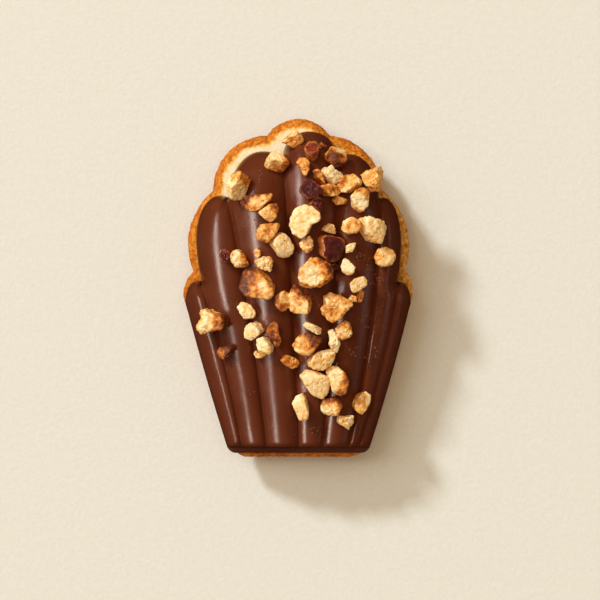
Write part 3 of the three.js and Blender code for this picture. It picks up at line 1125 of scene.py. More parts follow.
@dataclass
class Crumbs:
    """Fine chips and dust that fell off the nuts and stuck to the chocolate."""

    ground: Ground
    patches: tuple[Scuff, ...] = (
        Scuff((13.3, 6.9), 1.1, 26),
        Scuff((15.6, 5.0), 0.8, 16),
        Scuff((17.0, 1.6), 1.0, 20),
        Scuff((15.4, 1.0), 0.6, 12),
        Scuff((19.8, -1.4), 0.8, 7),
        Scuff((18.2, -5.0), 1.3, 12),
        Scuff((14.4, -7.6), 1.1, 20),
        Scuff((17.3, -9.0), 1.3, 14),
        Scuff((17.3, -12.6), 0.9, 10),
        Scuff((12.2, -14.0), 0.8, 14),
        Scuff((15.6, -15.8), 1.0, 10),
        Scuff((21.0, -15.5), 0.8, 9),
        Scuff((-12.0, 13.6), 0.8, 7),
        Scuff((-8.6, 13.9), 1.2, 9),
        Scuff((-4.6, 12.0), 0.8, 10),
        Scuff((-7.4, -6.4), 1.0, 14),
        Scuff((-6.2, -17.6), 0.8, 9),
        Scuff((-11.0, -23.4), 0.9, 10),
        Scuff((-5.6, -30.4), 0.7, 8),
        Scuff((-14.7, -16.9), 0.6, 6),
        Scuff((3.6, -30.6), 0.9, 9),
        Scuff((-8.8, 24.0), 1.2, 10),
    )
    scatter: float = 0.85
    sizes: tuple[float, float] = (0.06, 0.19)
    stray: int = 90
    stray_sizes: tuple[float, float] = (0.06, 0.15)
    stray_middle: PlanPoint = (5, -2)
    stray_spread: PlanPoint = (9, 15)
    lowest: float = 10.0
    stretch: tuple[float, float] = (0.5, 1.3)
    flatness: float = 0.6
    jag: float = 0.35
    roasts: tuple[float, float] = (0.15, 0.75)
    seed: int = 4

    def build(self) -> bpy.types.Object:
        """Makes all the crumbs as one joined mesh.

        Returns:
            The mesh object.
        """
        random = np.random.default_rng(self.seed)
        ball, ball_faces = unit_ball(2)
        spots: list[tuple[float, float, float]] = []
        for patch in self.patches:
            for _ in range(patch.count):
                x, y = np.array(patch.at) + random.normal(0, patch.spread * self.scatter, 2)
                spots.append((x, y, random.uniform(*self.sizes)))
        for _ in range(self.stray):
            x, y = (random.normal(*drawn) for drawn in zip(self.stray_middle, self.stray_spread))
            spots.append((x, y, random.uniform(*self.stray_sizes)))
        points: list[np.ndarray] = []
        roasts: list[np.ndarray] = []
        faces: list[Face] = []
        for x, y, size in spots:
            height = self.ground.height(x, y)
            if height < self.lowest:
                continue
            stretch = random.uniform(*self.stretch, 3) * np.array([1, 1, self.flatness])
            jag = 1 + random.uniform(-self.jag, self.jag, len(ball))[:, None]
            faces.extend(tuple(v + len(points) * len(ball) for v in face) for face in ball_faces)
            points.append(ball * stretch * jag * size + np.array([x, y, height]))
            roasts.append(np.full(len(ball), random.uniform(*self.roasts)))
        crumbs = new_object("crumbs", np.concatenate(points), faces)
        paint(crumbs, "roast", np.concatenate(roasts))
        settle(crumbs, [], CrumbFinish())
        return crumbs


# Roughly from the wide end to the narrow one. A piece's place in the list picks its random breaks, so
# a new piece goes last.
PIECES = (
    Chunk(
        (
            (-7.6, 26.9), (-6.1, 28.9), (-4, 29.3), (-2.2, 28.1), (-2.1, 26.6), (-2.7, 25.5),
            (-5, 26), (-6.7, 25.9),
        ),
        Kind.PALE, Cut.SPLIT, roast=0.16, skin=-20,
    ),
    Chunk(
        (
            (-15.1, 24.9), (-13, 25.3), (-10.3, 24.4), (-10.9, 22.3), (-13, 19), (-14, 18.6),
            (-15.2, 22.2),
        ),
        Kind.PALE, Cut.SPLIT, roast=0.04, height=3.6, skin=48, node="nut_wedge",
    ),
    Chunk(
        (
            (-13.6, 18), (-10.9, 19.6), (-7.6, 20), (-5, 20.5), (-5.1, 19.5), (-6.3, 18.4),
            (-8.4, 16.5), (-10.1, 16.3), (-11.8, 17.2),
        ),
        Kind.TOASTED, Cut.SPLIT, roast=0.36, skin=110, node="nut_sliver",
    ),
    Chunk(
        ((-6.6, 17.9), (-5.2, 18.1), (-4.3, 17.3), (-4.9, 15.1), (-5.9, 14), (-7.7, 15.1), (-8.8, 16.3)),
        Kind.PALE, Cut.SPLIT, roast=0.2, skin=40,
    ),
    Chunk(
        (
            (-9, 11.2), (-8.9, 12.4), (-8.2, 13.6), (-6.4, 13.9), (-3.7, 14.2), (-4.2, 12.6),
            (-5, 11.6), (-6.7, 9.7), (-8.4, 10.4),
        ),
        Kind.TOASTED, Cut.CRUMBLY, roast=0.36,
    ),
    Chunk(
        (
            (-2.7, 32.6), (-2.5, 33.6), (-1, 33.7), (0.3, 33.7), (1.2, 32.4), (1.1, 31.3),
            (-0.8, 31.5), (-1.6, 30.4), (-2.7, 31.3),
        ),
        Kind.PALE, Cut.CRUMBLY, roast=0.26, height=2.6,
    ),
    Chunk(
        ((1.1, 29.9), (2.3, 31.3), (3.8, 31.3), (4.3, 29.9), (4.2, 28.4), (3.2, 27.3), (1.8, 28.4)),
        Kind.CARAMEL, Cut.CUBE, roast=0.42,
    ),
    Chunk(
        ((4.3, 31.1), (5, 31.7), (6, 31.5), (6.1, 30.7), (4.9, 30.4)),
        Kind.CARAMEL, Cut.CUBE, roast=0.9, height=1.6,
    ),
    Chunk(
        (
            (5.9, 28.6), (6.2, 30.1), (7.8, 30.6), (9.8, 30.1), (10.5, 28.8), (9.8, 27.7),
            (10.1, 26.8), (8.9, 25.8), (7.3, 26.4), (6, 27.9),
        ),
        Kind.TOASTED, Cut.SMOOTH, roast=0.28, skin=240,
    ),
    Chunk(
        (
            (-0.5, 27.1), (0.3, 28.2), (1.8, 28), (2.5, 26.8), (2.4, 25.3), (1.8, 24), (1.1, 24.2),
            (0.5, 25.7),
        ),
        Kind.TOASTED, Cut.CRUMBLY, roast=0.46, height=2.4,
    ),
    Chunk(
        ((2.6, 25.5), (3.6, 25.8), (4.9, 24.9), (5.4, 23.5), (6, 22), (4.9, 22.9), (3.6, 23.8)),
        Kind.TOASTED, Cut.SLIVER, roast=0.46, height=2.2,
    ),
    Chunk(
        (
            (5, 24.6), (5.4, 25.8), (6.4, 26.6), (7.3, 25.5), (8.7, 24.9), (9.3, 23.8), (8.4, 23.1),
            (7.3, 22.4), (6.2, 23.3),
        ),
        Kind.PALE, Cut.CRUMBLY, roast=0.0,
    ),
    Chunk(
        (
            (8.3, 22.2), (8.9, 23.7), (10.6, 24.4), (12, 24.8), (13.7, 23.5), (13.7, 22.4),
            (12.2, 21.5), (10.6, 20.5), (8.9, 20.7),
        ),
        Kind.PALE, Cut.CRUMBLY, roast=0.2, skin=150,
    ),
    Chunk(
        (
            (14.2, 24.7), (15.7, 25.8), (17.1, 26.4), (18.3, 26.2), (18.2, 24.7), (17.3, 23.3),
            (17, 21.5), (15.9, 20.7), (14, 21.8), (14.6, 23.3),
        ),
        Kind.PALE, Cut.KNOBBLY, roast=0.24, height=3.2,
    ),
    Chunk(
        ((-0.2, 21.1), (1.8, 23.5), (3.6, 22.6), (5.3, 20.9), (4.2, 19.6), (2, 19.1)),
        Kind.CARAMEL, Cut.CUBE, roast=0.95, height=3.4,
    ),
    Chunk(
        ((4.3, 22), (6.2, 22.6), (8, 22), (8.7, 20.9), (7.6, 20), (6, 19.8), (5.1, 20.9)),
        Kind.TOASTED, Cut.CRUMBLY, roast=0.34,
    ),
    Chunk(
        ((7.1, 19.4), (8.4, 20), (10.6, 19.3), (10.2, 18.2), (8.4, 18)),
        Kind.TOASTED, Cut.CRUMBLY, roast=0.24, height=2.4,
    ),
    Chunk(
        (
            (11, 19.6), (12, 21.1), (13.7, 21.5), (15.1, 20.5), (14.9, 17.8), (13.7, 16.4),
            (11.7, 17.2), (11.3, 18.7),
        ),
        Kind.PALE, Cut.CRUMBLY, roast=0.1, skin=60,
    ),
    Chunk(
        ((2.2, 18.2), (3.6, 19.6), (5.1, 19.1), (5.3, 18), (4.5, 16.5), (3.4, 17.4)),
        Kind.CARAMEL, Cut.KNOBBLY, roast=0.7, height=2.2,
    ),
    Chunk(
        (
            (-1.9, 15.1), (-0.2, 17.6), (1.6, 18.1), (3.2, 17.4), (4.9, 15.8), (4.9, 14.7),
            (2.9, 13.8), (2.1, 11.6), (0.9, 10.8), (-1, 11.6), (-1.9, 13.2),
        ),
        Kind.PALE, Cut.CRUMBLY, roast=0.04, height=3.2, node="nut_cream",
    ),
    Chunk(
        ((9.1, 12.7), (9.8, 14.5), (11.7, 15.3), (13.3, 14.7), (13.9, 13.4), (12.8, 11.9), (10.6, 11.6)),
        Kind.TOASTED, Cut.SMOOTH, roast=0.2,
    ),
    Chunk(
        (
            (13.1, 15.1), (14.2, 15.8), (15.7, 14.9), (18.2, 14.3), (18.8, 13.2), (18.4, 11.2),
            (17.1, 9.7), (15.5, 10), (14, 12),
        ),
        Kind.PALE, Cut.CRUMBLY, roast=0.06, height=3.2, node="nut_right_pale",
    ),
    Chunk(
        ((4.8, 12.5), (5.8, 13.6), (7.1, 14), (7.8, 12.9), (7.6, 11.8), (6, 12.1)),
        Kind.PALE, Cut.CRUMBLY, roast=0.2, height=2.0,
    ),
    Chunk(
        (
            (-17.2, 7.2), (-16.7, 8.3), (-15.7, 8.3), (-14.7, 7.3), (-14.5, 5.6), (-15.7, 5.5),
            (-16.7, 6.2),
        ),
        Kind.CARAMEL, Cut.CRUMBLY, roast=0.75, height=2.0,
    ),
    Chunk(
        (
            (-14.9, 6.7), (-14, 8.3), (-12.6, 8.3), (-11.3, 7), (-10.4, 5.1), (-11.5, 4.5),
            (-13.3, 4.6), (-14.3, 5.6),
        ),
        Kind.PALE, Cut.CRUMBLY, roast=0.12, skin=0,
    ),
    Chunk(
        ((-9.5, 8), (-9.1, 8.8), (-8.1, 8), (-8.2, 7), (-8.8, 6.5), (-9.4, 7.3)),
        Kind.PALE, Cut.CRUMBLY, roast=0.26, height=1.6,
    ),
    Chunk(
        ((-9.1, 5.6), (-7.7, 6.7), (-6.4, 6.7), (-5.5, 5.6), (-5.9, 3.6), (-7.2, 4), (-8.2, 4.5)),
        Kind.PALE, Cut.KNOBBLY, roast=0.2, height=2.6,
    ),
    Chunk(
        (
            (-12.3, 3.5), (-11.8, 4.2), (-9.4, 4.3), (-7.1, 3.1), (-5, 0.4), (-4.7, -1.1),
            (-5.9, -2.3), (-7.4, -1.9), (-10.9, -1.4), (-12.3, 0.1),
        ),
        Kind.TOASTED, Cut.SPLIT, roast=0.33, height=3.6, skin=165, core=(-6.7, 0.6), node="nut_half",
    ),
    Chunk(
        (
            (-6.2, 9.5), (-5.4, 11.4), (-3.9, 12.3), (-2.5, 11.6), (-1.3, 9.2), (-1.7, 7.7),
            (-2.5, 6.7), (-4.2, 6.5), (-5.2, 8),
        ),
        Kind.PALE, Cut.SMOOTH, roast=0.03, height=3.4, node="nut_left_pale",
    ),
    Chunk(
        ((-5.4, -3.5), (-4.7, -1.4), (-3.5, -0.4), (-2, -1.1), (-1.8, -3.8), (-3.4, -5.2), (-4.5, -4.7)),
        Kind.PALE, Cut.SPLIT, roast=0.2, skin=230,
    ),
    Chunk(
        (
            (-13.1, -4), (-12.1, -3.2), (-10.3, -3.6), (-9.1, -5.3), (-9.4, -6.5), (-11.8, -6.7),
            (-12.6, -5.3),
        ),
        Kind.PALE, Cut.CRUMBLY, roast=0.02, height=2.8,
    ),
    Chunk(
        (
            (-21.5, -6.7), (-21.1, -5.2), (-19.7, -4.4), (-18.7, -5), (-16, -5.5), (-15.2, -6.5),
            (-15.5, -8.5), (-17, -8.7), (-18.7, -9.2), (-20.4, -9.7), (-21.4, -8.7),
        ),
        Kind.TOASTED, Cut.KNOBBLY, roast=0.16, height=3.4, skin=-5, node="nut_left_golden",
    ),
    Chunk(
        (
            (-11.5, -9.4), (-10.9, -7.9), (-9.8, -7.2), (-8.4, -7.9), (-7.5, -9.2), (-8.4, -10.2),
            (-9.9, -11.1), (-11.3, -10.6),
        ),
        Kind.PALE, Cut.CRUMBLY, roast=0.02, height=2.8,
    ),
    Chunk(
        (
            (-9.1, -12.2), (-8.6, -10.9), (-7.2, -10.4), (-6.4, -11.2), (-5.4, -12.9), (-5.7, -14.1),
            (-6.6, -14.3), (-7.9, -13.7),
        ),
        Kind.PALE, Cut.CRUMBLY, roast=0.04, height=2.8,
    ),
    Chunk(
        ((-9.6, -14.1), (-8.8, -13.4), (-7.1, -14.5), (-7.5, -15), (-9.3, -14.9)),
        Kind.PALE, Cut.CRUMBLY, roast=0.2, height=1.8,
    ),
    Chunk(
        (
            (-6.7, -9), (-5.9, -7.7), (-4.9, -7.2), (-4.4, -7.9), (-4.2, -9.7), (-3.4, -11.6),
            (-4, -12.8), (-5, -13.1), (-5.5, -11.2), (-6.6, -10.1),
        ),
        Kind.TOASTED, Cut.CUBE, roast=0.58, height=2.6,
    ),
    Chunk(
        (
            (-18.4, -14.7), (-17, -13), (-15.2, -12.3), (-13.7, -12.1), (-13.3, -13), (-14.3, -13.9),
            (-15.7, -15.2), (-17.4, -15.4),
        ),
        Kind.TOASTED, Cut.SLIVER, roast=0.42, height=2.0, skin=30,
    ),
    Chunk(
        ((-3.9, -15.7), (-2.4, -14.4), (-0.9, -15.2), (0.2, -15.7), (-1.4, -17.4), (-2.9, -16.8)),
        Kind.TOASTED, Cut.SPLIT, roast=0.36, height=2.4,
    ),
    Chunk(
        (
            (4.1, 10.5), (4.7, 11.5), (6.7, 11.6), (8.9, 10.7), (10.1, 9.1), (9.6, 7.1), (8.4, 6),
            (5.8, 5.9), (4.3, 7.1), (4.6, 8.7),
        ),
        Kind.CARAMEL, Cut.SMOOTH, roast=0.72, height=2.8, node="caramel_large",
    ),
    Chunk(
        ((7.2, 4.8), (7.9, 5.4), (8.9, 5), (8.8, 4.2), (7.7, 4.1)),
        Kind.CARAMEL, Cut.CRUMBLY, roast=0.6, height=1.4,
    ),
    Chunk(
        ((0.5, 9.4), (1.6, 10.7), (2.5, 11), (3.1, 10.2), (3, 8.3), (2, 7.6), (1.4, 8)),
        Kind.PALE, Cut.KNOBBLY, roast=0.12, height=2.2,
    ),
    Chunk(
        ((10.2, 9.2), (11.3, 9.7), (12.6, 9.9), (12.2, 8.7), (11.7, 7.9), (10.4, 7.8)),
        Kind.PALE, Cut.CRUMBLY, roast=0.06, height=2.0,
    ),
    Chunk(
        (
            (0, 2.1), (0.5, 3.8), (1.8, 5.2), (2.7, 6.8), (4.2, 6.1), (5.4, 5.4), (6.9, 4.3),
            (7.5, 2.7), (6.9, 1.6), (5.3, 0.7), (4, 0.8), (2.5, 0.1), (0.9, 0.8),
        ),
        Kind.TOASTED, Cut.KNOBBLY, roast=0.18, height=3.6, skin=20, node="nut_lobed",
    ),
    Chunk(
        ((9.1, 4.9), (10.2, 6.7), (10.9, 6), (12.4, 4.5), (11.8, 3.2), (10.7, 2.6), (9.6, 3.6)),
        Kind.PALE, Cut.CRUMBLY, roast=0.0,
    ),
    Chunk(
        (
            (16.3, 6.7), (17.1, 8.5), (18.8, 8.7), (20.4, 8.1), (21.1, 6.7), (20.3, 5), (18.4, 4.5),
            (16.8, 5.2),
        ),
        Kind.TOASTED, Cut.CRUMBLY, roast=0.24,
    ),
    Chunk(
        (
            (10.9, 1), (12, 2.1), (14, 2.7), (14.8, 1.7), (14.6, 0.5), (13.7, 0.1), (11.8, -1),
            (11.3, -0.4),
        ),
        Kind.PALE, Cut.SPLIT, roast=0.06, height=2.6,
    ),
    Chunk(
        (
            (-1.6, -1.4), (-0.8, 1), (0.3, 0.3), (1.8, -1), (3, -2.5), (2.5, -5.4), (0.9, -5.4),
            (-1.3, -4.7),
        ),
        Kind.TOASTED, Cut.CRUMBLY, roast=0.2, skin=60,
    ),
    Chunk(
        (
            (5.2, -1.7), (6.5, -1.1), (8.4, -1.5), (10.7, -2.8), (10.9, -3.9), (9.6, -4.7),
            (8.9, -6.1), (7.1, -6.7), (5.4, -5.9), (4.9, -4.5), (5.6, -3.6),
        ),
        Kind.TOASTED, Cut.KNOBBLY, roast=0.2, height=3.4, node="nut_rugged",
    ),
    Chunk(
        ((10.7, -2.3), (11.5, -1.4), (12.4, -1.7), (12.6, -3), (11.3, -2.8)),
        Kind.TOASTED, Cut.CRUMBLY, roast=0.24, height=1.8,
    ),
    Chunk(
        ((12.7, -3.2), (12.8, -0.6), (13.3, 0.3), (14, -0.6), (13.7, -2.5), (13.1, -3.4)),
        Kind.TOASTED, Cut.SLIVER, roast=0.46, height=1.6,
    ),
    Chunk(
        ((0.7, -7.8), (1.6, -7.1), (2.9, -7.6), (5.4, -8.9), (4.9, -10), (3.6, -9.6), (1.2, -8.3)),
        Kind.PALE, Cut.SPLIT, roast=0.02, height=2.2,
    ),
    Chunk(
        (
            (8, -8.9), (9.1, -7.4), (10, -6.9), (11.1, -7.4), (11.8, -9.8), (11.3, -10.7),
            (9.8, -11.1), (8.6, -10.3),
        ),
        Kind.TOASTED, Cut.SMOOTH, roast=0.24,
    ),
    Chunk(
        (
            (6.4, -9.2), (7.3, -8.9), (8.2, -9.6), (8.7, -11.1), (9.1, -12), (8.4, -13.7),
            (7.3, -13.6), (6.9, -11.7),
        ),
        Kind.PALE, Cut.KNOBBLY, roast=0.04, height=2.4,
    ),
    Chunk(
        (
            (-1, -12), (0.1, -10.7), (1.8, -9.6), (3.2, -10.1), (5.4, -10.7), (5.1, -11.6),
            (4.2, -12.8), (2.7, -14.7), (0.9, -14.8), (-0.8, -12.8),
        ),
        Kind.TOASTED, Cut.CRUMBLY, roast=0.24, height=3.4, skin=30, node="nut_brown_low",
    ),
    Chunk(
        (
            (1.9, -16.1), (2.9, -14.3), (4.5, -13.4), (6.7, -13.2), (7.5, -14.8), (6.9, -16.8),
            (4.3, -17.8), (2.3, -17.2),
        ),
        Kind.PALE, Cut.SPLIT, roast=0.08,
    ),
    Chunk(
        (
            (6, -17.9), (6.9, -16.7), (8.6, -16.8), (10, -18.1), (11.1, -19.8), (10.7, -22.5),
            (10, -23.6), (8.6, -23.6), (7.5, -22.3), (7.1, -20),
        ),
        Kind.TOASTED, Cut.SPLIT, roast=0.18, height=3.4, skin=-15, node="nut_tall",
    ),
    Chunk(
        (
            (0, -18.9), (1.6, -17.5), (4, -17.9), (6, -18.9), (7, -20.1), (6.5, -22.5), (4.9, -23.5),
            (2.9, -22.9), (1.2, -21.1),
        ),
        Kind.PALE, Cut.SMOOTH, roast=0.06, height=3.4, node="nut_spotted",
    ),
    Chunk(
        (
            (-1.4, -24.9), (-0.6, -23.2), (0.7, -22.7), (1.6, -23.4), (2, -25.4), (2.4, -26.9),
            (2.1, -28.2), (0.3, -28.4), (-0.4, -26.4),
        ),
        Kind.PALE, Cut.SMOOTH, roast=0.0,
    ),
    Chunk(
        (
            (4.8, -26), (6, -24), (7.6, -23.4), (9.1, -24.5), (9.6, -25.6), (8.7, -27.6),
            (6.4, -27.3), (5.3, -26.9),
        ),
        Kind.TOASTED, Cut.CRUMBLY, roast=0.18, skin=80,
    ),
    Chunk(
        (
            (11.6, -25.4), (12.8, -23.2), (14.4, -22.3), (15.8, -23.2), (15, -25.3), (13.3, -27),
            (12, -26.4),
        ),
        Kind.TOASTED, Cut.SPLIT, roast=0.2, height=2.8,
    ),
    Chunk(
        (
            (8.3, -29), (8.9, -27.6), (10.2, -27.9), (11.5, -27.6), (11.7, -29.5), (10.7, -30.6),
            (9.1, -29.8),
        ),
        Kind.PALE, Cut.CRUMBLY, roast=0.08, height=2.4,
    ),
)


# ------------------------------------------------------------------ finishes


class Shader:
    """A short way to add nodes to a material or a node group and join them."""

    def __init__(self, tree: bpy.types.NodeTree) -> None:
        """Starts on an empty tree.

        Args:
            tree: The tree to fill.
        """
        self.tree = tree
        self.tree.nodes.clear()

    def add(self, kind: str, inputs: dict | None = None, **settings: object) -> bpy.types.Node:
        """Adds a node.

        Args:
            kind: The node's type.
            inputs: Values, or output sockets to join, by input name or number.
            **settings: Properties of the node.

        Returns:
            The node.
        """
        made = self.tree.nodes.new(kind)
        for name, value in settings.items():
            setattr(made, name, value)
        for name, value in (inputs or {}).items():
            if isinstance(value, bpy.types.NodeSocket):
                self.tree.links.new(value, made.inputs[name])
            else:
                made.inputs[name].default_value = value
        return made

    def maths(self, operation: str, *values: object, clamp: bool = False) -> bpy.types.NodeSocket:
        """Adds a sum of one or two values and gives its result.

        Args:
            operation: Name of the sum.
            *values: Numbers or sockets.
            clamp: True to keep the result from 0 to 1.

        Returns:
            The result's socket.
        """
        inputs = dict(enumerate(values))
        return self.add("ShaderNodeMath", inputs, operation=operation, use_clamp=clamp).outputs[0]

    def spread(self, value: object, low: float, high: float) -> bpy.types.NodeSocket:
        """Stretches the range from low to high over 0 to 1, softly at both ends."""
        inputs = {"Value": value, "From Min": low, "From Max": high}
        made = self.add("ShaderNodeMapRange", inputs, interpolation_type="SMOOTHSTEP")
        return made.outputs["Result"]

    def blend(self, share: object, first: object, second: object) -> bpy.types.NodeSocket:
        """Mixes two colours.

        Args:
            share: How much of the second.
            first: Colour or socket.
            second: Colour or socket.

        Returns:
            The mixed colour's socket.
        """
        made = self.add("ShaderNodeMix", data_type="RGBA")
        for number, value in ((0, share), (6, first), (7, second)):
            if isinstance(value, bpy.types.NodeSocket):
                self.tree.links.new(value, made.inputs[number])
            else:
                made.inputs[number].default_value = value if number == 0 else (*value, 1)
        return made.outputs[2]

    def ramp(self, share: bpy.types.NodeSocket, stops: ColourScale) -> bpy.types.NodeSocket:
        """Reads a colour off a scale.

        Args:
            share: Where on the scale.
            stops: Places and colours in order.

        Returns:
            The colour's socket.
        """
        made = self.add("ShaderNodeValToRGB", {"Fac": share})
        scale = made.color_ramp.elements
        while len(scale) < len(stops):
            scale.new(0.5)
        for element, (place, colour) in zip(scale, stops):
            element.position = place
            element.color = (*colour, 1)
        return made.outputs["Color"]

    def value(self, name: str) -> bpy.types.NodeSocket:
        """Reads a number that a piece's vertices carry."""
        return self.add("ShaderNodeAttribute", attribute_name=name).outputs["Fac"]


class SharedGroups:
    """Shader groups that several finishes use, each built once."""

    built: dict[str, bpy.types.NodeTree] = {}

    @classmethod
    def start(
        cls, name: str, inputs: dict[str, float], output: str
    ) -> tuple[Shader, dict[str, bpy.types.NodeSocket]]:
        """Starts a group with number inputs and one number output.

        Args:
            name: Name of the group.
            inputs: Input names and their first values.
            output: Name of the output.

        Returns:
            The group's shader, and its input sockets by name.
        """
        tree = bpy.data.node_groups.new(name, "ShaderNodeTree")
        shader = Shader(tree)
        for label, value in inputs.items():
            socket = tree.interface.new_socket(name=label, in_out="INPUT", socket_type="NodeSocketFloat")
            socket.default_value = value
        tree.interface.new_socket(name=output, in_out="OUTPUT", socket_type="NodeSocketFloat")
        source = shader.add("NodeGroupInput")
        cls.built[name] = tree
        return shader, {label: source.outputs[label] for label in inputs}

    @classmethod
    def mottle(cls) -> bpy.types.NodeTree:
        """Soft uneven patches: 0 to 1, with the share and width of the patches given."""
        if "mottle" not in cls.built:
            labels = {"Scale": 500.0, "Detail": 3.0, "Low": 0.4, "High": 0.6}
            shader, given = cls.start("mottle", labels, "Mask")
            place = shader.add("ShaderNodeTexCoord").outputs["Object"]
            pattern = shader.add(
                "ShaderNodeTexNoise",
                {"Vector": place, "Scale": given["Scale"], "Detail": given["Detail"], "Roughness": 0.6},
            )
            inputs = {"Value": pattern.outputs["Fac"], "From Min": given["Low"], "From Max": given["High"]}
            patches = shader.add("ShaderNodeMapRange", inputs, interpolation_type="SMOOTHSTEP")
            shader.add("NodeGroupOutput", {"Mask": patches.outputs["Result"]})
        return cls.built["mottle"]

    @classmethod
    def grain(cls) -> bpy.types.NodeTree:
        """Height of a broken or baked surface: round grains with finer roughness on them."""
        if "grain" not in cls.built:
            labels = {"Grain Scale": 1500.0, "Fine Scale": 4000.0, "Fine Share": 0.5}
            shader, given = cls.start("grain", labels, "Height")
            place = shader.add("ShaderNodeTexCoord").outputs["Object"]
            grains = shader.add(
                "ShaderNodeTexVoronoi", {"Vector": place, "Scale": given["Grain Scale"]}, feature="SMOOTH_F1"
            )
            fine = shader.add(
                "ShaderNodeTexNoise", {"Vector": place, "Scale": given["Fine Scale"], "Detail": 3.0}
            )
            domes = shader.maths("SUBTRACT", 1.0, grains.outputs["Distance"])
            rough = shader.maths("MULTIPLY", fine.outputs["Fac"], given["Fine Share"])
            shader.add("NodeGroupOutput", {"Height": shader.maths("ADD", domes, rough)})
        return cls.built["grain"]


@dataclass(frozen=True)
class Patches:
    """Soft uneven patches over a surface.

    scale is how many a metre holds, low and high are the pattern's values where a patch starts
    and where it is full, and share is how strongly a full one shows.
    """

    scale: float
    low: float
    high: float
    share: float = 1.0


@dataclass(frozen=True)
class Grain:
    """A granular bump: grains and finer roughness a metre, the latter's share, depth in metres."""

    coarse: float
    fine: float
    share: float
    depth: float


@dataclass(frozen=True)
class Finish:
    """What every finish shares: a named material with one Principled shader."""

    name: str = "finish"
    roughness: float = 0.5
    specular: float = 0.5
    grain: Grain = Grain(1500, 4000, 0.5, 0.0001)

    def start(self) -> tuple[bpy.types.Material, Shader]:
        """Makes the empty material.

        Returns:
            The material and its shader.
        """
        made = bpy.data.materials.new(self.name)
        made.use_nodes = True
        return made, Shader(made.node_tree)

    def finish(
        self, shader: Shader, colour: object, roughness: object = None, strength: object = 1.0
    ) -> None:
        """Ends a material with its Principled shader.

        Args:
            shader: The material's shader.
            colour: Base colour or its socket.
            roughness: Socket of an uneven roughness, or None for the finish's own number.
            strength: How much of the grain shows, as a number or a socket.
        """
        inputs = {
            "Base Color": colour,
            "Roughness": self.roughness if roughness is None else roughness,
            "Specular IOR Level": self.specular,
            "Normal": self.bump(shader, strength),
        }
        surface = shader.add("ShaderNodeBsdfPrincipled", inputs)
        shader.add("ShaderNodeOutputMaterial", {"Surface": surface.outputs["BSDF"]})

    def mottle(self, shader: Shader, patches: Patches) -> bpy.types.NodeSocket:
        """Adds the shared patches.

        Args:
            shader: The material's shader.
            patches: How wide and how strong they are.

        Returns:
            The mask's socket.
        """
        made = shader.add("ShaderNodeGroup", node_tree=SharedGroups.mottle())
        made.inputs["Scale"].default_value = patches.scale
        made.inputs["Low"].default_value = patches.low
        made.inputs["High"].default_value = patches.high
        mask = made.outputs["Mask"]
        return mask if patches.share == 1 else shader.maths("MULTIPLY", mask, patches.share)

    def bump(self, shader: Shader, strength: object) -> bpy.types.NodeSocket:
        """Adds the shared grain as a bump.

        Args:
            shader: The material's shader.
            strength: How much of it shows, as a number or a socket.

        Returns:
            The normal's socket.
        """
        made = shader.add("ShaderNodeGroup", node_tree=SharedGroups.grain())
        made.inputs["Grain Scale"].default_value = self.grain.coarse
        made.inputs["Fine Scale"].default_value = self.grain.fine
        made.inputs["Fine Share"].default_value = self.grain.share
        inputs = {"Height": made.outputs["Height"], "Distance": self.grain.depth, "Strength": strength}
        return shader.add("ShaderNodeBump", inputs).outputs["Normal"]

    def material(self) -> bpy.types.Material:
        """Makes the material. Each finish has its own."""
        raise NotImplementedError


@dataclass(frozen=True)
class ChocolateFinish(Finish):
    """Moulded chocolate: satin, with faint clouds, scuffs and dust."""

    name: str = "moulded_chocolate"
    roughness: float = 0.27
    specular: float = 0.4
    grain: Grain = Grain(420, 2600, 0.16, 0.00004)
    body: Colour = (0.117, 0.0215, 0.0055)
    cloud: Colour = (0.137, 0.027, 0.008)
    scuff: Colour = (0.30, 0.12, 0.08)
    clouds: Patches = Patches(90, 0.35, 0.7)
    specks: Patches = Patches(3400, 0.64, 0.74)
    scuffed: Patches = Patches(170, 0.54, 0.66)
    scuff_share: float = 0.22
    dull: Patches = Patches(260, 0.3, 0.75, 0.09)

    def material(self) -> bpy.types.Material:
        """Makes the material."""
        made, shader = self.start()
        colour = shader.blend(self.mottle(shader, self.clouds), self.body, self.cloud)
        specks = self.mottle(shader, self.specks)
        dust = shader.maths("MULTIPLY", specks, self.mottle(shader, self.scuffed))
        colour = shader.blend(shader.maths("MULTIPLY", dust, self.scuff_share), colour, self.scuff)
        roughness = shader.maths("ADD", self.mottle(shader, self.dull), self.roughness)
        self.finish(shader, colour, roughness)
        return made


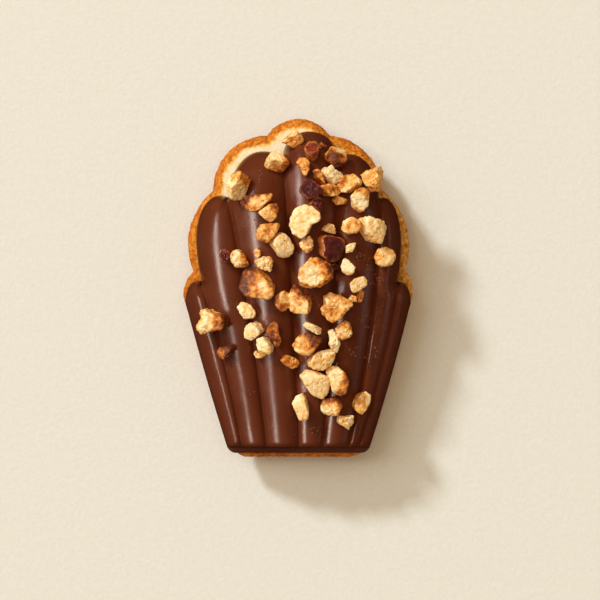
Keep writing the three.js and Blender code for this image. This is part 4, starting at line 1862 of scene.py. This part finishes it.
@dataclass(frozen=True)
class CrustFinish(Finish):
    """Baked sponge: granular toasted crust outside, pale crumb towards the chocolate.

    The mesh carries the height of its grains, about -1 to 1, its depth in from the outline in millimetres,
    and its browning from 0 to 1, which is lowered towards the right as painted light. Painted shade darkens
    the grains' hollows and the rim's outer side and belly.
    """

    name: str = "baked_sponge"
    roughness: float = 0.75
    specular: float = 0.15
    grain: Grain = Grain(2500, 5200, 0.6, 0.00019)
    toasted: Colour = (0.60, 0.132, 0.004)
    golden: Colour = (0.78, 0.240, 0.014)
    dark: Colour = (0.30, 0.055, 0.003)
    glint: Colour = (0.92, 0.50, 0.10)
    crumb: Colour = (1.0, 0.75, 0.42)
    crumb_gold: Colour = (0.97, 0.50, 0.10)
    golden_grains: tuple[float, float] = (-0.2, 0.4)
    # Painted shade: darker where the grains lie low, in their hollows.
    shaded_grains: tuple[float, float] = (-0.05, -0.5)
    grain_shade_share: float = 0.38
    hollows: Patches = Patches(3300, 0.52, 0.68, 0.55)
    glints: Patches = Patches(3900, 0.55, 0.7, 0.6)
    baked: Patches = Patches(230, 0.42, 0.66, 0.34)
    # Painted shade: the rim's outer side and the belly below it are darkened.
    shaded_rim: tuple[float, float] = (1.1, -0.2)
    shaded_rim_share: float = 0.2
    uneven: Patches = Patches(1000, 0.25, 0.75, 0.5)
    uneven_middle: float = 0.22
    gold_from: tuple[float, float] = (0.0, 0.5)
    crust_from: tuple[float, float] = (0.3, 0.9)
    crumb_bump: float = 0.15

    def material(self) -> bpy.types.Material:
        """Makes the material."""
        made, shader = self.start()
        grains = shader.value("grains")
        golden = shader.spread(grains, *self.golden_grains)
        colour = shader.blend(golden, self.toasted, self.golden)
        # Painted shade in the hollows between the grains.
        low = shader.maths("MULTIPLY", shader.spread(grains, *self.shaded_grains), self.grain_shade_share)
        colour = shader.blend(low, colour, self.dark)
        colour = shader.blend(self.mottle(shader, self.hollows), colour, self.dark)
        colour = shader.blend(self.mottle(shader, self.glints), colour, self.glint)
        colour = shader.blend(self.mottle(shader, self.baked), colour, self.dark)
        # Painted shade on the rim's outer side and on the belly.
        shaded_rim = shader.spread(shader.value("depth"), *self.shaded_rim)
        colour = shader.blend(shader.maths("MULTIPLY", shaded_rim, self.shaded_rim_share), colour, self.dark)
        drift = shader.maths("SUBTRACT", self.mottle(shader, self.uneven), self.uneven_middle)
        browned = shader.maths("ADD", shader.value("outer"), drift)
        gold = shader.spread(browned, *self.gold_from)
        crust = shader.spread(browned, *self.crust_from)
        colour = shader.blend(crust, shader.blend(gold, self.crumb, self.crumb_gold), colour)
        rough = shader.maths("MULTIPLY", crust, 1 - self.crumb_bump)
        self.finish(shader, colour, strength=shader.maths("ADD", rough, self.crumb_bump))
        return made


@dataclass(frozen=True)
class NutFinish(Finish):
    """Roasted nut: its colour runs from pale cream to dark brown with the roast."""

    name: str = "roasted_nut"
    roughness: float = 0.55
    specular: float = 0.3
    grain: Grain = Grain(1500, 3600, 0.7, 0.00008)
    uneven: Patches = Patches(1300, 0.3, 0.75, 0.16)
    freckles: Patches = Patches(2000, 0.60, 0.70, 0.38)
    paler: float = 0.08
    stops: ColourScale = (
        (0.0, (1.0, 0.71, 0.36)),
        (0.2, (0.97, 0.57, 0.20)),
        (0.4, (0.86, 0.35, 0.06)),
        (0.62, (0.58, 0.150, 0.014)),
        (0.82, (0.28, 0.055, 0.006)),
        (1.0, (0.11, 0.020, 0.004)),
    )

    def material(self) -> bpy.types.Material:
        """Makes the material."""
        made, shader = self.start()
        uneven = self.mottle(shader, self.uneven)
        spotted = shader.maths("ADD", uneven, self.mottle(shader, self.freckles))
        roast = shader.maths("ADD", shader.value("roast"), spotted)
        share = shader.maths("SUBTRACT", roast, self.paler, clamp=True)
        self.finish(shader, shader.ramp(share, self.stops))
        return made


@dataclass(frozen=True)
class CaramelFinish(Finish):
    """Dark caramelised piece: glossy, nearly black red with orange edges."""

    name: str = "dark_caramel"
    roughness: float = 0.4
    specular: float = 0.4
    grain: Grain = Grain(1200, 3000, 0.5, 0.0002)
    uneven: Patches = Patches(800, 0.3, 0.7, 0.3)
    stops: ColourScale = (
        (0.0, (0.46, 0.13, 0.022)),
        (0.25, (0.28, 0.032, 0.010)),
        (0.5, (0.13, 0.014, 0.007)),
        (1.0, (0.040, 0.008, 0.006)),
    )

    def material(self) -> bpy.types.Material:
        """Makes the material."""
        made, shader = self.start()
        uneven = self.mottle(shader, self.uneven)
        share = shader.maths("SUBTRACT", shader.value("roast"), uneven, clamp=True)
        self.finish(shader, shader.ramp(share, self.stops))
        return made


@dataclass(frozen=True)
class CrumbFinish(Finish):
    """Crumbs half coated in chocolate: dusty brown to tan."""

    name: str = "coated_crumb"
    roughness: float = 0.45
    grain: Grain = Grain(2500, 5000, 0.5, 0.00005)
    stops: ColourScale = (
        (0.0, (0.34, 0.15, 0.085)),
        (0.3, (0.25, 0.095, 0.058)),
        (0.7, (0.17, 0.055, 0.030)),
        (1.0, (0.11, 0.028, 0.012)),
    )

    def material(self) -> bpy.types.Material:
        """Makes the material."""
        made, shader = self.start()
        self.finish(shader, shader.ramp(shader.value("roast"), self.stops))
        return made


@dataclass(frozen=True)
class FloorFinish(Finish):
    """Plain warm paper under the cake."""

    name: str = "floor_paper"
    roughness: float = 0.9
    specular: float = 0.1
    grain: Grain = Grain(1700, 4200, 0.7, 0.00004)
    tint: Colour = (0.775, 0.684, 0.537)
    shade: Colour = (0.748, 0.660, 0.515)
    uneven: Patches = Patches(900, 0.3, 0.7)

    def material(self) -> bpy.types.Material:
        """Makes the material."""
        made, shader = self.start()
        colour = shader.blend(self.mottle(shader, self.uneven), self.tint, self.shade)
        self.finish(shader, colour)
        return made


# ------------------------------------------------------------------ studio


class Reach(Enum):
    """What a lamp does: lights the scene, or only shows as a sheen on glossy parts."""

    LIGHT = (True, False)
    SHEEN = (False, True)


@dataclass(frozen=True)
class Lamp:
    """A square or oblong soft light aimed at the cake.

    heading is counted in degrees from +Y towards -X, height above the horizon.
    """

    name: str
    heading: float
    height: float
    distance: float
    size: tuple[float, float]
    power: float
    tint: Colour = (1.0, 1.0, 1.0)
    reach: Reach = Reach.SHEEN

    def build(self) -> None:
        """Adds the light to the scene."""
        light = bpy.data.lights.new(self.name, "AREA")
        light.shape = "RECTANGLE"
        light.size, light.size_y = self.size
        light.energy = self.power
        light.color = self.tint
        lamp = bpy.data.objects.new(self.name, light)
        lamp.visible_diffuse, lamp.visible_glossy = self.reach.value
        turn, climb = math.radians(self.heading), math.radians(self.height)
        way = Vector((-math.sin(turn) * math.cos(climb), math.cos(turn) * math.cos(climb), math.sin(climb)))
        lamp.location = way * self.distance
        lamp.rotation_euler = way.to_track_quat("Z", "Y").to_euler()
        bpy.context.scene.collection.objects.link(lamp)


@dataclass
class Studio:
    """Floor, soft lights and a camera straight above."""

    lamps: tuple[Lamp, ...] = (
        Lamp("key", 43, 36.5, 6.0, (0.72, 0.72), 340, (0.67, 0.82, 1.0), Reach.LIGHT),
        Lamp("broad_key", 58, 58, 4.0, (1.8, 1.8), 53.5, (0.84, 0.88, 1.0), Reach.LIGHT),
        Lamp("overhead", 30, 84, 4.0, (2.8, 2.8), 36.5, (1.0, 0.90, 0.70), Reach.LIGHT),
        Lamp("left_sheen", 90, 38, 1.0, (0.86, 0.26), 13.0, (1.0, 0.99, 0.90)),
        Lamp("right_sheen", -92, 4, 1.0, (0.6, 0.2), 0.4, (1.0, 0.95, 0.92)),
    )
    sky: Colour = (1.0, 0.86, 0.65)
    sky_strength: float = 0.32
    floor_half: float = 1.5
    floor_drop: float = 0.02
    lens: float = 200.0
    width_seen: float = 0.1324
    aim: tuple[float, float, float] = (0.00033, -0.00254, 0.009)

    def build_floor(self) -> None:
        """Adds the floor."""
        half, low = self.floor_half / MM, -self.floor_drop
        corners = [(-half, -half, low), (half, -half, low), (half, half, low), (-half, half, low)]
        floor = new_object("floor", np.array(corners), [(0, 1, 2, 3)])
        floor.data.materials.append(FloorFinish().material())
        floor.visible_glossy = False

    def build_lights(self) -> None:
        """Adds the soft sky and the lamps."""
        world = bpy.data.worlds.new("studio_sky")
        world.use_nodes = True
        background = world.node_tree.nodes["Background"]
        background.inputs["Color"].default_value = (*self.sky, 1)
        background.inputs["Strength"].default_value = self.sky_strength
        world.cycles_visibility.glossy = False
        bpy.context.scene.world = world
        for lamp in self.lamps:
            lamp.build()

    def build_camera(self) -> None:
        """Adds the camera, with the cake a little above the middle of the picture."""
        data = bpy.data.cameras.new("camera")
        data.lens = self.lens
        camera = bpy.data.objects.new("camera", data)
        x, y, z = self.aim
        camera.location = (x, y, z + self.width_seen * self.lens / data.sensor_width)
        bpy.context.scene.collection.objects.link(camera)
        bpy.context.scene.camera = camera
        bpy.context.scene.view_settings.view_transform = "Standard"

    def build(self) -> None:
        """Adds everything that isn't the cake."""
        self.build_floor()
        self.build_lights()
        self.build_camera()
        LOG.info("studio: %s", ", ".join(lamp.name for lamp in self.lamps))


def main() -> None:
    """Builds the cake from the inside out, then the studio."""
    logging.basicConfig(level=logging.INFO, format="%(message)s")
    coat = ChocolateCoat()
    chocolate = coat.build()
    cake = SpongeCake().build(coat, Ground([chocolate]).tree)
    ground = Ground([chocolate, cake])
    topping = Topping(ground, PIECES)
    topping.build(Kind.PALE, NutFinish("pale_nut"))
    topping.build(Kind.TOASTED, NutFinish("toasted_nut"))
    topping.build(Kind.CARAMEL, CaramelFinish())
    Crumbs(ground).build()
    Studio().build()


if __name__ == "__main__":
    main()
